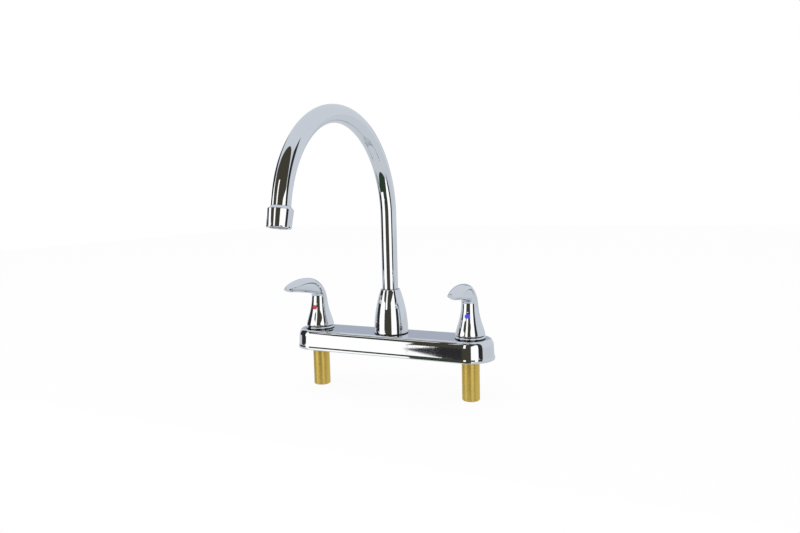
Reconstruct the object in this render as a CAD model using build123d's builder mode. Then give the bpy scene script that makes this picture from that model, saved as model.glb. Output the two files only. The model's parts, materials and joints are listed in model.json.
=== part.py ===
from build123d import *
from math import cos, radians, sin, sqrt, tan
import os

# Two handle kitchen faucet on an eight inch deck cover, in millimetres.
# The origin is the middle of the cover's underside, on the counter. +X runs to the cold
# valve, -Y runs out to the user, over the sink, and +Z is up.

# ---- driving dimensions -------------------------------------------------------------

# deck cover and the plate that closes it
VALVE_CENTRES = 203.2
COVER_END_RADIUS = 28.4
COVER_HEIGHT = 24.0
COVER_WALL = 2.2
COVER_DRAFT = 3.0
COVER_EDGE_RADIUS = 6.0
COVER_LIP_HEIGHT = 4.5
COVER_LIP_STEP = 0.5
COVER_LIP_CHAMFER = 0.4
PLATE_THICKNESS = 3.0
PLATE_GAP = 0.3

# brass shanks and valve bodies
SHANK_RADIUS = 10.4
SHANK_LENGTH = 49.5
SHANK_BORE = 7.2
SHANK_CHAMFER = 1.0
SPIGOT_RADIUS = 9.0
SPIGOT_LENGTH = 3.5
BODY_RADIUS = 14.0
BODY_NECK_RADIUS = 10.4
BODY_NECK_RISE = 5.6
SEAT_THICKNESS = 1.5
SEAT_BORE = 6.2

# crossover tubes
CROSSOVER_RADIUS = 5.0
CROSSOVER_BORE = 4.0
CROSSOVER_SOCKET = 2.5

# cartridges
HOUSING_RADIUS = 8.8
HOUSING_WALL = 1.4
HOUSING_BOSS_RADIUS = 6.6
HOUSING_BOSS_RISE = 5.0
SEAL_THICKNESS = 2.0
DISC_THICKNESS = 3.0
DISC_PORT_RADIUS = 1.9
DISC_PORT_CIRCLE = 4.0
STEM_RADIUS = 4.0
STEM_FLANGE_RADIUS = 6.0
STEM_FLANGE_THICKNESS = 3.0
STEM_TOP = 60.0
SPLINE_LENGTH = 14.0
SPLINE_COUNT = 20
SPLINE_DEPTH = 0.35
STEM_RING_SECTION = 1.6

# nuts and trim rings
BONNET_NUT_FLATS = 24.0
BONNET_NUT_CAP = 3.0
TRIM_RING_RADIUS = 17.8
TRIM_RING_HEIGHT = 3.6
TRIM_RING_WALL = 3.2
TRIM_FLANGE = 1.2
TRIM_UNDERCUT_RADIUS = 16.9
TRIM_UNDERCUT_HEIGHT = 0.9
TRIM_ROUNDING = 0.8

# spout post, its nut and its seals
POST_BASE_RADIUS = 12.0
POST_NECK_RADIUS = 9.0
POST_RADIUS = 7.5
POST_BORE = 4.3
POST_FLOOR = 3.0
POST_RISE = 38.0
POST_NUT_FLATS = 24.0
POST_NUT_HEIGHT = 6.0
POST_RING_SECTION = 2.0
POST_RING_SPACING = 10.0
POST_TIP_CHAMFER = 0.5
CLIP_THICKNESS = 1.5
CLIP_INNER = 6.1
CLIP_OUTER = 8.4
CLIP_MOUTH = 60.0
CLIP_RISE = 2.0
GLIDE_INNER = 15.5
GLIDE_OUTER = 19.5
GLIDE_THICKNESS = 0.7

# spout
TUBE_RADIUS = 9.5
TUBE_WALL = 1.2
RISER_TOP = 165.5
ARCH_RADIUS = 110.0
ARCH_TURN = 168.0
OUTLET_RUN = 6.0
HUB_RADIUS = 20.7
HUB_TOP_RADIUS = 11.6
HUB_HEIGHT = 52.6
HUB_MIDDLE_RADIUS = 18.4
HUB_TOP_ROUNDING = 0.6
HUB_WALL = 3.0
HUB_CAVITY_TOP = 41.0
FERRULE_RADIUS = 11.0
FERRULE_CLEARANCE = 1.0
FERRULE_TOP = 66.0
FERRULE_BORE = 5.8
FERRULE_SPIGOT = 14.0

# aerator, along the outlet's own axis
AERATOR_LENGTH = 19.2
AERATOR_RIM_RADIUS = 10.0
AERATOR_TOP_RADIUS = 12.3
AERATOR_END_RADIUS = 11.4
AERATOR_SHOULDER = 2.6
AERATOR_THREAD = 9.0
AERATOR_LIP = 1.8
AERATOR_LIP_BORE = 8.4
AERATOR_NOTCHES = 8
AERATOR_NOTCH_WIDTH = 2.0
AERATOR_NOTCH_DEPTH = 1.0
AERATOR_NOTCH_REACH = 2.4
WASHER_THICKNESS = 1.6
WASHER_BORE = 6.8
SCREEN_THICKNESS = 0.6
SCREEN_HOLE = 0.8
SCREEN_PITCH = 2.6
SCREEN_ROWS = 5
INSERT_WALL = 1.2
INSERT_FLOOR = 2.0
INSERT_HOLE = 0.9
INSERT_ROWS = ((3.0, 6), (6.0, 12))

# lever handles
HANDLE_GAP = 0.4
BELL_RADIUS = 17.8
BELL_HEIGHT = 28.0
BELL_WAIST_RADIUS = 11.9
BELL_WAIST_HEIGHT = 20.3
BELL_FOOT_LEAN = -0.20
NECK_LEAN = -0.15
NECK_RADIUS = 10.45
LEVER_SPLAY = 3.5
CAVITY_RADIUS = 14.3
CAVITY_STRAIGHT = 5.5
CAVITY_TOP_RADIUS = 8.2
CAVITY_HEIGHT = 15.0
STEM_SOCKET_TOP = 61.0
INDEX_HEIGHT = 51.0
INDEX_RADIUS = 3.1
INDEX_DEPTH = 2.6
INDEX_INSET = 0.6
INDEX_PROUD = 0.3
SCREW_RADIUS = 2.4

# clearances
ASSEMBLY_GAP = 0.05
GLIDE_GAP = 0.2
RUNNING_GAP = 0.05
TURN_GAP = 0.3

# The lever is a leaf with a crisp edge over a rounder stem. Each station is a slice across
# it, from the neck to the tip: the underside's and the crest's (y, z) over the bell's top,
# the half width at the edge, how far the edge lies under the crest, and the step in and
# down from the edge to the stem.
LEVER_STATIONS = (
    ((-10.4, 0.0), (10.4, 0.0), 10.40, 10.4, 0.06, 1.13),
    ((-9.7, 6.2), (9.3, 7.5), 9.80, 9.9, 0.15, 1.00),
    ((-10.0, 10.8), (7.1, 15.0), 9.50, 10.5, 0.30, 0.90),
    ((-12.6, 13.2), (2.2, 22.0), 9.40, 10.8, 0.60, 0.70),
    ((-17.7, 14.4), (-5.3, 28.6), 9.40, 9.2, 0.90, 0.60),
    ((-25.0, 15.8), (-15.0, 33.0), 9.40, 6.8, 1.10, 0.50),
    ((-33.0, 17.3), (-27.0, 34.9), 9.30, 6.0, 1.20, 0.40),
    ((-42.0, 18.9), (-40.0, 34.9), 9.20, 5.7, 1.20, 0.40),
    ((-51.0, 20.3), (-52.0, 33.0), 8.80, 5.2, 1.10, 0.40),
    ((-58.8, 21.4), (-61.5, 29.9), 7.60, 4.3, 0.90, 0.30),
    ((-64.2, 22.9), (-66.7, 26.7), 4.60, 2.3, 0.50, 0.20),
)

# ---- heights and places worked out from them ----------------------------------------

HOT_X = -VALVE_CENTRES / 2
COLD_X = VALVE_CENTRES / 2
CEILING = COVER_HEIGHT - COVER_WALL
CROSSOVER_Z = (PLATE_THICKNESS + CEILING) / 2
SEAT_Z = PLATE_THICKNESS + SPIGOT_LENGTH + SEAT_THICKNESS
FIXED_DISC_Z = SEAT_Z + SEAL_THICKNESS
TURNING_DISC_Z = FIXED_DISC_Z + DISC_THICKNESS
STEM_FOOT_Z = TURNING_DISC_Z + DISC_THICKNESS
CHAMBER_TOP = STEM_FOOT_Z + STEM_FLANGE_THICKNESS + TURN_GAP
CHAMBER_RADIUS = HOUSING_RADIUS - HOUSING_WALL
BODY_BORE = HOUSING_RADIUS + ASSEMBLY_GAP
BODY_TOP = COVER_HEIGHT + BODY_NECK_RISE
HOUSING_SHOULDER = BODY_TOP + TURN_GAP
BONNET_NUT_TOP = HOUSING_SHOULDER + BONNET_NUT_CAP
HOUSING_TOP = BONNET_NUT_TOP + HOUSING_BOSS_RISE
STEM_RING_Z = (BONNET_NUT_TOP + HOUSING_TOP) / 2
NUT_SEAT = COVER_HEIGHT + TRIM_FLANGE
INDEX_FACE = BELL_WAIST_RADIUS - INDEX_INSET
POST_NUT_TOP = COVER_HEIGHT + POST_NUT_HEIGHT
POST_TOP = COVER_HEIGHT + POST_RISE
FERRULE_BOTTOM = POST_NUT_TOP + FERRULE_CLEARANCE
CLIP_Z = FERRULE_BOTTOM + CLIP_RISE
HUB_BOTTOM = COVER_HEIGHT + GLIDE_THICKNESS + GLIDE_GAP
HUB_TOP = HUB_BOTTOM + HUB_HEIGHT
POST_RING_HEIGHTS = (POST_TOP - POST_RING_SPACING, POST_TOP - 2 * POST_RING_SPACING)
POST_GROOVES = (
    (POST_RING_HEIGHTS[0], POST_RING_SECTION, POST_RING_SECTION + TURN_GAP),
    (POST_RING_HEIGHTS[1], POST_RING_SECTION, POST_RING_SECTION + TURN_GAP),
    (CLIP_Z, POST_RADIUS - CLIP_INNER + ASSEMBLY_GAP, CLIP_THICKNESS + 2 * ASSEMBLY_GAP),
)
TUBE_BORE = TUBE_RADIUS - TUBE_WALL
HANDLE_BOTTOM = COVER_HEIGHT + TRIM_RING_HEIGHT + HANDLE_GAP
BELL_TOP = HANDLE_BOTTOM + BELL_HEIGHT
CORE_RADIUS = TUBE_RADIUS - ASSEMBLY_GAP
SCREEN_START = AERATOR_THREAD + WASHER_THICKNESS
INSERT_START = SCREEN_START + SCREEN_THICKNESS
INSERT_LENGTH = AERATOR_LENGTH - AERATOR_LIP - INSERT_START


def upright(x):
    """The vertical drawing plane through the upright axis at x: radius, then height."""
    return Plane((x, 0, 0), x_dir=(1, 0, 0), z_dir=(0, -1, 0))


def level(x, z):
    """A level drawing plane at height z over the upright axis at x."""
    return Plane((x, 0, z))


def pin(x):
    """The upright axis at x."""
    return Axis((x, 0, 0), (0, 0, 1))


def save(piece, name):
    """Label a finished piece and write it under its own name."""
    piece.part.label = name
    export_step(piece.part, f"parts/{name}.step")


os.makedirs("parts", exist_ok=True)

# ---- deck cover and putty plate -----------------------------------------------------

upper_width = 2 * (COVER_END_RADIUS - COVER_LIP_STEP)
with BuildPart() as deck_cover:
    with BuildSketch(Plane.XY):
        SlotCenterToCenter(VALVE_CENTRES, 2 * COVER_END_RADIUS)
    extrude(amount=COVER_LIP_HEIGHT)
    chamfer(deck_cover.edges().group_by(Axis.Z)[-1], COVER_LIP_CHAMFER)
    with BuildSketch(Plane.XY.offset(COVER_LIP_HEIGHT)):
        SlotCenterToCenter(VALVE_CENTRES, upper_width)
    extrude(amount=COVER_HEIGHT - COVER_LIP_HEIGHT, taper=COVER_DRAFT)
    fillet(deck_cover.edges().group_by(Axis.Z)[-1], COVER_EDGE_RADIUS)
    with BuildSketch(Plane.XY):
        SlotCenterToCenter(VALVE_CENTRES, upper_width - 2 * COVER_WALL)
    extrude(amount=CEILING, taper=COVER_DRAFT, mode=Mode.SUBTRACT)
    with BuildSketch(Plane.XY.offset(CEILING)):
        with Locations((HOT_X, 0), (COLD_X, 0)):
            Circle(BODY_NECK_RADIUS + TURN_GAP)
        Circle(POST_NECK_RADIUS + TURN_GAP)
    extrude(amount=COVER_WALL, mode=Mode.SUBTRACT)
save(deck_cover, "deck_cover")

plate_width = upper_width - 2 * COVER_WALL - 2 * PLATE_GAP
with BuildPart() as putty_plate:
    with BuildSketch(Plane.XY):
        SlotCenterToCenter(VALVE_CENTRES, plate_width)
        with Locations((HOT_X, 0), (COLD_X, 0)):
            Circle(SHANK_RADIUS + TURN_GAP, mode=Mode.SUBTRACT)
    extrude(amount=PLATE_THICKNESS, taper=COVER_DRAFT)
save(putty_plate, "putty_plate")

# ---- supply side: shank, valve body and crossover tube ------------------------------


def make_shank(x, name):
    """A threaded brass shank, hollow, with a spigot that is brazed into the valve body."""
    with BuildPart() as shank:
        with BuildSketch(level(x, -SHANK_LENGTH)):
            Circle(SHANK_RADIUS)
        extrude(amount=SHANK_LENGTH)
        chamfer(shank.edges().group_by(Axis.Z)[0], SHANK_CHAMFER)
        with BuildSketch(level(x, 0)):
            Circle(SPIGOT_RADIUS)
        extrude(amount=PLATE_THICKNESS + SPIGOT_LENGTH)
        with BuildSketch(level(x, -SHANK_LENGTH)):
            Circle(SHANK_BORE)
        extrude(amount=SHANK_LENGTH + PLATE_THICKNESS + SPIGOT_LENGTH, mode=Mode.SUBTRACT)
    save(shank, name)


def make_valve_body(x, inward, name):
    """The brass body that holds one cartridge, with a side port towards the spout post."""
    profile = (
        (SPIGOT_RADIUS + ASSEMBLY_GAP, PLATE_THICKNESS),
        (BODY_RADIUS, PLATE_THICKNESS),
        (BODY_RADIUS, CEILING),
        (BODY_NECK_RADIUS, CEILING),
        (BODY_NECK_RADIUS, BODY_TOP),
        (BODY_BORE, BODY_TOP),
        (BODY_BORE, SEAT_Z),
        (SEAT_BORE, SEAT_Z),
        (SEAT_BORE, SEAT_Z - SEAT_THICKNESS),
        (SPIGOT_RADIUS + ASSEMBLY_GAP, SEAT_Z - SEAT_THICKNESS),
    )
    side = Plane((x, 0, CROSSOVER_Z), x_dir=(0, 1, 0), z_dir=(inward, 0, 0))
    with BuildPart() as body:
        with BuildSketch(upright(x)):
            with BuildLine():
                Polyline(*profile, close=True)
            make_face()
        revolve(axis=pin(x))
        with BuildSketch(side.offset(HOUSING_RADIUS / 2)):
            Circle(CROSSOVER_BORE)
        extrude(amount=BODY_RADIUS, mode=Mode.SUBTRACT)
        with BuildSketch(side.offset(BODY_RADIUS - CROSSOVER_SOCKET)):
            Circle(CROSSOVER_RADIUS + ASSEMBLY_GAP)
        extrude(amount=BODY_RADIUS, mode=Mode.SUBTRACT)
    save(body, name)


def make_crossover_tube(x, inward, name):
    """The copper tube from one valve body to the spout post."""
    start = Plane((x, 0, CROSSOVER_Z), x_dir=(0, 1, 0), z_dir=(inward, 0, 0))
    first = BODY_RADIUS - CROSSOVER_SOCKET
    last = VALVE_CENTRES / 2 - POST_BASE_RADIUS + CROSSOVER_SOCKET
    with BuildPart() as tube:
        with BuildSketch(start.offset(first)):
            Circle(CROSSOVER_RADIUS)
            Circle(CROSSOVER_BORE, mode=Mode.SUBTRACT)
        extrude(amount=last - first)
    save(tube, name)


# ---- cartridges ---------------------------------------------------------------------


def make_housing(x, name):
    """A cartridge housing: a skirt round the ceramic discs, and a boss round the stem."""
    profile = (
        (CHAMBER_RADIUS, SEAT_Z),
        (HOUSING_RADIUS, SEAT_Z),
        (HOUSING_RADIUS, HOUSING_SHOULDER),
        (HOUSING_BOSS_RADIUS, HOUSING_SHOULDER),
        (HOUSING_BOSS_RADIUS, HOUSING_TOP),
        (STEM_RADIUS + RUNNING_GAP, HOUSING_TOP),
        (STEM_RADIUS + RUNNING_GAP, CHAMBER_TOP),
        (CHAMBER_RADIUS, CHAMBER_TOP),
    )
    with BuildPart() as housing:
        with BuildSketch(upright(x)):
            with BuildLine():
                Polyline(*profile, close=True)
            make_face()
        revolve(axis=pin(x))
        with BuildSketch(level(x, FIXED_DISC_Z)):
            SlotCenterToCenter(2 * HOUSING_RADIUS, 2 * DISC_PORT_RADIUS)
        extrude(amount=CHAMBER_TOP - TURN_GAP - FIXED_DISC_Z, mode=Mode.SUBTRACT)
    save(housing, name)


def make_seal(x, name):
    """The rubber ring that seals the fixed disc on the body's seat."""
    with BuildPart() as seal:
        with BuildSketch(level(x, SEAT_Z)):
            Circle(CHAMBER_RADIUS - ASSEMBLY_GAP)
            Circle(SEAT_BORE, mode=Mode.SUBTRACT)
        extrude(amount=SEAL_THICKNESS)
    save(seal, name)


def make_disc(x, z, radius, first_angle, name):
    """A ceramic disc with two ports: the two discs' ports lie square to each other."""
    with BuildPart() as disc:
        with BuildSketch(level(x, z)):
            Circle(radius)
            with PolarLocations(DISC_PORT_CIRCLE, 2, first_angle):
                Circle(DISC_PORT_RADIUS, mode=Mode.SUBTRACT)
        extrude(amount=DISC_THICKNESS)
    save(disc, name)


def make_stem(x, name):
    """The turning stem: a foot on the upper disc, a seal groove and a splined top."""
    groove = STEM_RADIUS - STEM_RING_SECTION / 2
    profile = (
        (0, STEM_FOOT_Z),
        (STEM_FLANGE_RADIUS, STEM_FOOT_Z),
        (STEM_FLANGE_RADIUS, STEM_FOOT_Z + STEM_FLANGE_THICKNESS),
        (STEM_RADIUS, STEM_FOOT_Z + STEM_FLANGE_THICKNESS),
        (STEM_RADIUS, STEM_RING_Z - STEM_RING_SECTION / 2),
        (groove, STEM_RING_Z - STEM_RING_SECTION / 2),
        (groove, STEM_RING_Z + STEM_RING_SECTION / 2),
        (STEM_RADIUS, STEM_RING_Z + STEM_RING_SECTION / 2),
        (STEM_RADIUS, STEM_TOP),
        (0, STEM_TOP),
    )
    with BuildPart() as stem:
        with BuildSketch(upright(x)):
            with BuildLine():
                Polyline(*profile, close=True)
            make_face()
        revolve(axis=pin(x))
        chamfer(stem.edges().group_by(Axis.Z)[-1], SPLINE_DEPTH)
        with BuildSketch(level(x, STEM_TOP - SPLINE_LENGTH)):
            with PolarLocations(STEM_RADIUS, SPLINE_COUNT):
                RegularPolygon(SPLINE_DEPTH, 4)
        extrude(amount=SPLINE_LENGTH, mode=Mode.SUBTRACT)
    save(stem, name)


def make_stem_ring(x, name):
    """The stem's O-ring, in its groove."""
    section = STEM_RING_SECTION / 4
    centre = STEM_RADIUS - section
    with BuildPart() as ring:
        with BuildSketch(upright(x)):
            with Locations((centre, STEM_RING_Z)):
                Circle(section)
        revolve(axis=pin(x))
    save(ring, name)


# ---- nuts and rings under the handles -----------------------------------------------


def make_bonnet_nut(x, name):
    """The hexagon nut that screws on the body's neck and holds cartridge and cover."""
    with BuildPart() as nut:
        with BuildSketch(level(x, NUT_SEAT)):
            RegularPolygon(BONNET_NUT_FLATS / 2, 6, major_radius=False)
        extrude(amount=BONNET_NUT_TOP - NUT_SEAT)
        with BuildSketch(level(x, NUT_SEAT)):
            Circle(BODY_NECK_RADIUS + ASSEMBLY_GAP)
        extrude(amount=HOUSING_SHOULDER - NUT_SEAT, mode=Mode.SUBTRACT)
        with BuildSketch(level(x, HOUSING_SHOULDER)):
            Circle(HOUSING_BOSS_RADIUS + ASSEMBLY_GAP)
        extrude(amount=BONNET_NUT_CAP, mode=Mode.SUBTRACT)
    save(nut, name)


def make_trim_ring(x, name):
    """The chrome ring under the handle: a clamped flange, a rim and a shadow gap."""
    rim_top = COVER_HEIGHT + TRIM_RING_HEIGHT
    with BuildPart() as ring:
        with BuildSketch(upright(x)):
            with BuildLine():
                Polyline(
                    (BODY_NECK_RADIUS + TURN_GAP, COVER_HEIGHT),
                    (TRIM_UNDERCUT_RADIUS, COVER_HEIGHT),
                    (TRIM_UNDERCUT_RADIUS, COVER_HEIGHT + TRIM_UNDERCUT_HEIGHT),
                    (TRIM_RING_RADIUS, COVER_HEIGHT + TRIM_UNDERCUT_HEIGHT),
                    (TRIM_RING_RADIUS, rim_top),
                    (TRIM_RING_RADIUS - TRIM_RING_WALL, rim_top),
                    (TRIM_RING_RADIUS - TRIM_RING_WALL, NUT_SEAT),
                    (BODY_NECK_RADIUS + TURN_GAP, NUT_SEAT),
                    close=True,
                )
            make_face()
        revolve(axis=pin(x))
        rim_edges = ring.edges().filter_by(GeomType.CIRCLE)
        fillet(rim_edges.group_by(SortBy.RADIUS)[-1], TRIM_ROUNDING)
    save(ring, name)


# ---- handles ------------------------------------------------------------------------


def handle_frame(x, outward):
    """The handle's own level plane at the deck's zero: its lever runs out along -Y."""
    turn = radians(outward * LEVER_SPLAY)
    return Plane((x, 0, 0), x_dir=(cos(turn), sin(turn), 0), z_dir=(0, 0, 1))


def handle_front(x, outward):
    """The upright plane through the handle's axis that faces along its lever."""
    frame = handle_frame(x, outward)
    return Plane((x, 0, INDEX_HEIGHT), x_dir=frame.x_dir, z_dir=-frame.y_dir)


def lever_slice(frame, station):
    """The drawing plane and the outline points of one slice across the lever."""
    (low_y, low_z), (top_y, top_z), half, crown, step_in, step_down = station
    depth = sqrt((top_y - low_y) ** 2 + (top_z - low_z) ** 2)
    across_y = (top_y - low_y) / depth
    across_z = (top_z - low_z) / depth
    middle = frame.from_local_coords((0, (low_y + top_y) / 2, BELL_TOP + (low_z + top_z) / 2))
    along = frame.z_dir * across_y - frame.y_dir * across_z
    plane = Plane(middle, x_dir=frame.x_dir, z_dir=along)
    edge = depth / 2 - crown
    return plane, depth / 2, half, edge, half - step_in, edge - step_down


def make_handle(x, outward, name):
    """One casting: the bell over the valve and the lever that rises from its back."""
    frame = handle_frame(x, outward)
    with BuildPart() as handle:
        with BuildSketch(upright(x)):
            with BuildLine():
                Spline(
                    (BELL_RADIUS, HANDLE_BOTTOM),
                    (BELL_WAIST_RADIUS, HANDLE_BOTTOM + BELL_WAIST_HEIGHT),
                    (NECK_RADIUS, BELL_TOP),
                    tangents=((BELL_FOOT_LEAN, 1.0), (NECK_LEAN, 1.0)),
                )
                Line((NECK_RADIUS, BELL_TOP), (0, BELL_TOP))
                Line((0, BELL_TOP), (0, HANDLE_BOTTOM))
                Line((0, HANDLE_BOTTOM), (BELL_RADIUS, HANDLE_BOTTOM))
            make_face()
        revolve(axis=pin(x))
        for station in LEVER_STATIONS:
            plane, crest, half, edge, stem_half, stem_edge = lever_slice(frame, station)
            with BuildSketch(plane):
                with BuildLine():
                    ThreePointArc((half, edge), (0, crest), (-half, edge))
                    Line((-half, edge), (-stem_half, stem_edge))
                    ThreePointArc((-stem_half, stem_edge), (0, -crest), (stem_half, stem_edge))
                    Line((stem_half, stem_edge), (half, edge))
                make_face()
        loft()
        with BuildSketch(upright(x)):
            with BuildLine():
                Polyline(
                    (0, HANDLE_BOTTOM),
                    (CAVITY_RADIUS, HANDLE_BOTTOM),
                    (CAVITY_RADIUS, HANDLE_BOTTOM + CAVITY_STRAIGHT),
                    (CAVITY_TOP_RADIUS, HANDLE_BOTTOM + CAVITY_HEIGHT),
                    (STEM_RADIUS + ASSEMBLY_GAP, HANDLE_BOTTOM + CAVITY_HEIGHT),
                    (STEM_RADIUS + ASSEMBLY_GAP, STEM_SOCKET_TOP),
                    (0, STEM_SOCKET_TOP),
                    close=True,
                )
            make_face()
        revolve(axis=pin(x), mode=Mode.SUBTRACT)
        front = handle_front(x, outward)
        with BuildSketch(front):
            Circle(SCREW_RADIUS + ASSEMBLY_GAP)
        extrude(amount=BELL_RADIUS, mode=Mode.SUBTRACT)
        with BuildSketch(front.offset(INDEX_FACE - INDEX_DEPTH)):
            Circle(INDEX_RADIUS + ASSEMBLY_GAP)
        extrude(amount=BELL_RADIUS, mode=Mode.SUBTRACT)
    save(handle, name)


def make_index_plug(x, outward, name):
    """The coloured plug that covers the set screw, rounded at its face."""
    seat = handle_front(x, outward)
    with BuildPart() as plug:
        with BuildSketch(seat.offset(INDEX_FACE - INDEX_DEPTH)):
            Circle(INDEX_RADIUS)
        extrude(amount=INDEX_DEPTH + INDEX_PROUD)
        fillet(plug.edges().group_by(Axis(seat.origin, seat.z_dir))[-1], INDEX_PROUD)
    save(plug, name)


def make_set_screw(x, outward, name):
    """The grub screw that holds the handle on its stem, with a hexagon socket."""
    tip = handle_front(x, outward)
    length = INDEX_FACE - INDEX_DEPTH - STEM_RADIUS
    with BuildPart() as screw:
        with BuildSketch(tip.offset(STEM_RADIUS)):
            Circle(SCREW_RADIUS)
        extrude(amount=length)
        with BuildSketch(tip.offset(STEM_RADIUS + length / 2)):
            RegularPolygon(SCREW_RADIUS / 2, 6, major_radius=False)
        extrude(amount=length, mode=Mode.SUBTRACT)
    save(screw, name)


for x, inward, side in ((HOT_X, 1, "hot"), (COLD_X, -1, "cold")):
    make_shank(x, f"{side}_shank")
    make_valve_body(x, inward, f"{side}_valve_body")
    make_crossover_tube(x, inward, f"{side}_crossover_tube")
    make_housing(x, f"{side}_cartridge_housing")
    make_seal(x, f"{side}_seat_seal")
    make_disc(x, FIXED_DISC_Z, CHAMBER_RADIUS - ASSEMBLY_GAP, 0, f"{side}_fixed_disc")
    make_disc(x, TURNING_DISC_Z, CHAMBER_RADIUS - TURN_GAP, 90, f"{side}_turning_disc")
    make_stem(x, f"{side}_stem")
    make_stem_ring(x, f"{side}_stem_o_ring")
    make_bonnet_nut(x, f"{side}_bonnet_nut")
    make_trim_ring(x, f"{side}_trim_ring")
    make_handle(x, -inward, f"{side}_handle")
    make_index_plug(x, -inward, f"{side}_index_plug")
    make_set_screw(x, -inward, f"{side}_set_screw")

# ---- spout post and what turns on it ------------------------------------------------

with BuildPart() as spout_post:
    with BuildSketch(upright(0)):
        with BuildLine():
            Polyline(
                (0, PLATE_THICKNESS),
                (POST_BASE_RADIUS, PLATE_THICKNESS),
                (POST_BASE_RADIUS, CEILING),
                (POST_NECK_RADIUS, CEILING),
                (POST_NECK_RADIUS, POST_NUT_TOP),
                (POST_RADIUS, POST_NUT_TOP),
                (POST_RADIUS, POST_TOP),
                (0, POST_TOP),
                close=True,
            )
        make_face()
    revolve(axis=pin(0))
    chamfer(spout_post.edges().group_by(Axis.Z)[-1], POST_TIP_CHAMFER)
    for height, depth, width in POST_GROOVES:
        with BuildSketch(level(0, height - width / 2)):
            Circle(POST_BASE_RADIUS)
            Circle(POST_RADIUS - depth, mode=Mode.SUBTRACT)
        extrude(amount=width, mode=Mode.SUBTRACT)
    with BuildSketch(level(0, PLATE_THICKNESS + POST_FLOOR)):
        Circle(POST_BORE)
    extrude(amount=POST_TOP, mode=Mode.SUBTRACT)
    for way in (1, -1):
        port = Plane((0, 0, CROSSOVER_Z), x_dir=(0, 1, 0), z_dir=(way, 0, 0))
        with BuildSketch(port):
            Circle(CROSSOVER_BORE)
        extrude(amount=POST_BASE_RADIUS, mode=Mode.SUBTRACT)
        with BuildSketch(port.offset(POST_BASE_RADIUS - CROSSOVER_SOCKET)):
            Circle(CROSSOVER_RADIUS + ASSEMBLY_GAP)
        extrude(amount=POST_BASE_RADIUS, mode=Mode.SUBTRACT)
save(spout_post, "spout_post")

with BuildPart() as post_lock_nut:
    with BuildSketch(level(0, COVER_HEIGHT)):
        RegularPolygon(POST_NUT_FLATS / 2, 6, major_radius=False)
        Circle(POST_NECK_RADIUS + ASSEMBLY_GAP, mode=Mode.SUBTRACT)
    extrude(amount=POST_NUT_HEIGHT)
save(post_lock_nut, "post_lock_nut")

with BuildPart() as post_o_rings:
    with BuildSketch(upright(0)):
        with Locations(*((POST_RADIUS - POST_RING_SECTION / 2, z) for z in POST_RING_HEIGHTS)):
            Circle(POST_RING_SECTION / 2)
    revolve(axis=pin(0))
save(post_o_rings, "post_o_rings")

with BuildPart() as retaining_clip:
    reach = 2 * CLIP_OUTER
    half_mouth = reach * tan(radians(CLIP_MOUTH / 2))
    with BuildSketch(level(0, CLIP_Z - CLIP_THICKNESS / 2)):
        Circle(CLIP_OUTER)
        Circle(CLIP_INNER, mode=Mode.SUBTRACT)
        with BuildLine():
            Polyline((0, 0), (half_mouth, reach), (-half_mouth, reach), close=True)
        make_face(mode=Mode.SUBTRACT)
    extrude(amount=CLIP_THICKNESS)
save(retaining_clip, "retaining_clip")

with BuildPart() as glide_ring:
    with BuildSketch(level(0, COVER_HEIGHT)):
        Circle(GLIDE_OUTER)
        Circle(GLIDE_INNER, mode=Mode.SUBTRACT)
    extrude(amount=GLIDE_THICKNESS)
save(glide_ring, "glide_ring")

with BuildPart() as spout_ferrule:
    with BuildSketch(upright(0)):
        with BuildLine():
            Polyline(
                (POST_RADIUS + RUNNING_GAP, FERRULE_BOTTOM),
                (FERRULE_RADIUS, FERRULE_BOTTOM),
                (FERRULE_RADIUS, FERRULE_TOP),
                (TUBE_BORE - ASSEMBLY_GAP, FERRULE_TOP),
                (TUBE_BORE - ASSEMBLY_GAP, FERRULE_TOP + FERRULE_SPIGOT),
                (FERRULE_BORE, FERRULE_TOP + FERRULE_SPIGOT),
                (FERRULE_BORE, POST_TOP + TURN_GAP),
                (POST_RADIUS + RUNNING_GAP, POST_TOP + TURN_GAP),
                close=True,
            )
        make_face()
    revolve(axis=pin(0))
    with BuildSketch(level(0, CLIP_Z - CLIP_THICKNESS / 2 - ASSEMBLY_GAP)):
        Circle(CLIP_OUTER + ASSEMBLY_GAP)
    extrude(amount=CLIP_THICKNESS + 2 * ASSEMBLY_GAP, mode=Mode.SUBTRACT)
save(spout_ferrule, "spout_ferrule")

with BuildPart() as spout_hub:
    with BuildSketch(upright(0)):
        with BuildLine():
            ThreePointArc(
                (HUB_RADIUS, HUB_BOTTOM),
                (HUB_MIDDLE_RADIUS, HUB_BOTTOM + HUB_HEIGHT / 2),
                (HUB_TOP_RADIUS, HUB_TOP),
            )
            Polyline(
                (HUB_TOP_RADIUS, HUB_TOP),
                (TUBE_RADIUS + ASSEMBLY_GAP, HUB_TOP),
                (TUBE_RADIUS + ASSEMBLY_GAP, FERRULE_TOP),
                (FERRULE_RADIUS + ASSEMBLY_GAP, FERRULE_TOP),
                (FERRULE_RADIUS + ASSEMBLY_GAP, HUB_CAVITY_TOP),
                (HUB_RADIUS - HUB_WALL, HUB_CAVITY_TOP - HUB_WALL),
                (HUB_RADIUS - HUB_WALL, HUB_BOTTOM),
                (HUB_RADIUS, HUB_BOTTOM),
            )
        make_face()
    revolve(axis=pin(0))
    fillet(spout_hub.edges().group_by(Axis.Z)[-1].sort_by(SortBy.RADIUS)[-1], HUB_TOP_ROUNDING)
save(spout_hub, "spout_hub")

# ---- gooseneck tube -----------------------------------------------------------------


def on_arch(turn):
    """The tube's centre where it has turned this many degrees round the arch."""
    angle = radians(turn)
    return (0, ARCH_RADIUS * (cos(angle) - 1), RISER_TOP + ARCH_RADIUS * sin(angle))


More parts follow.
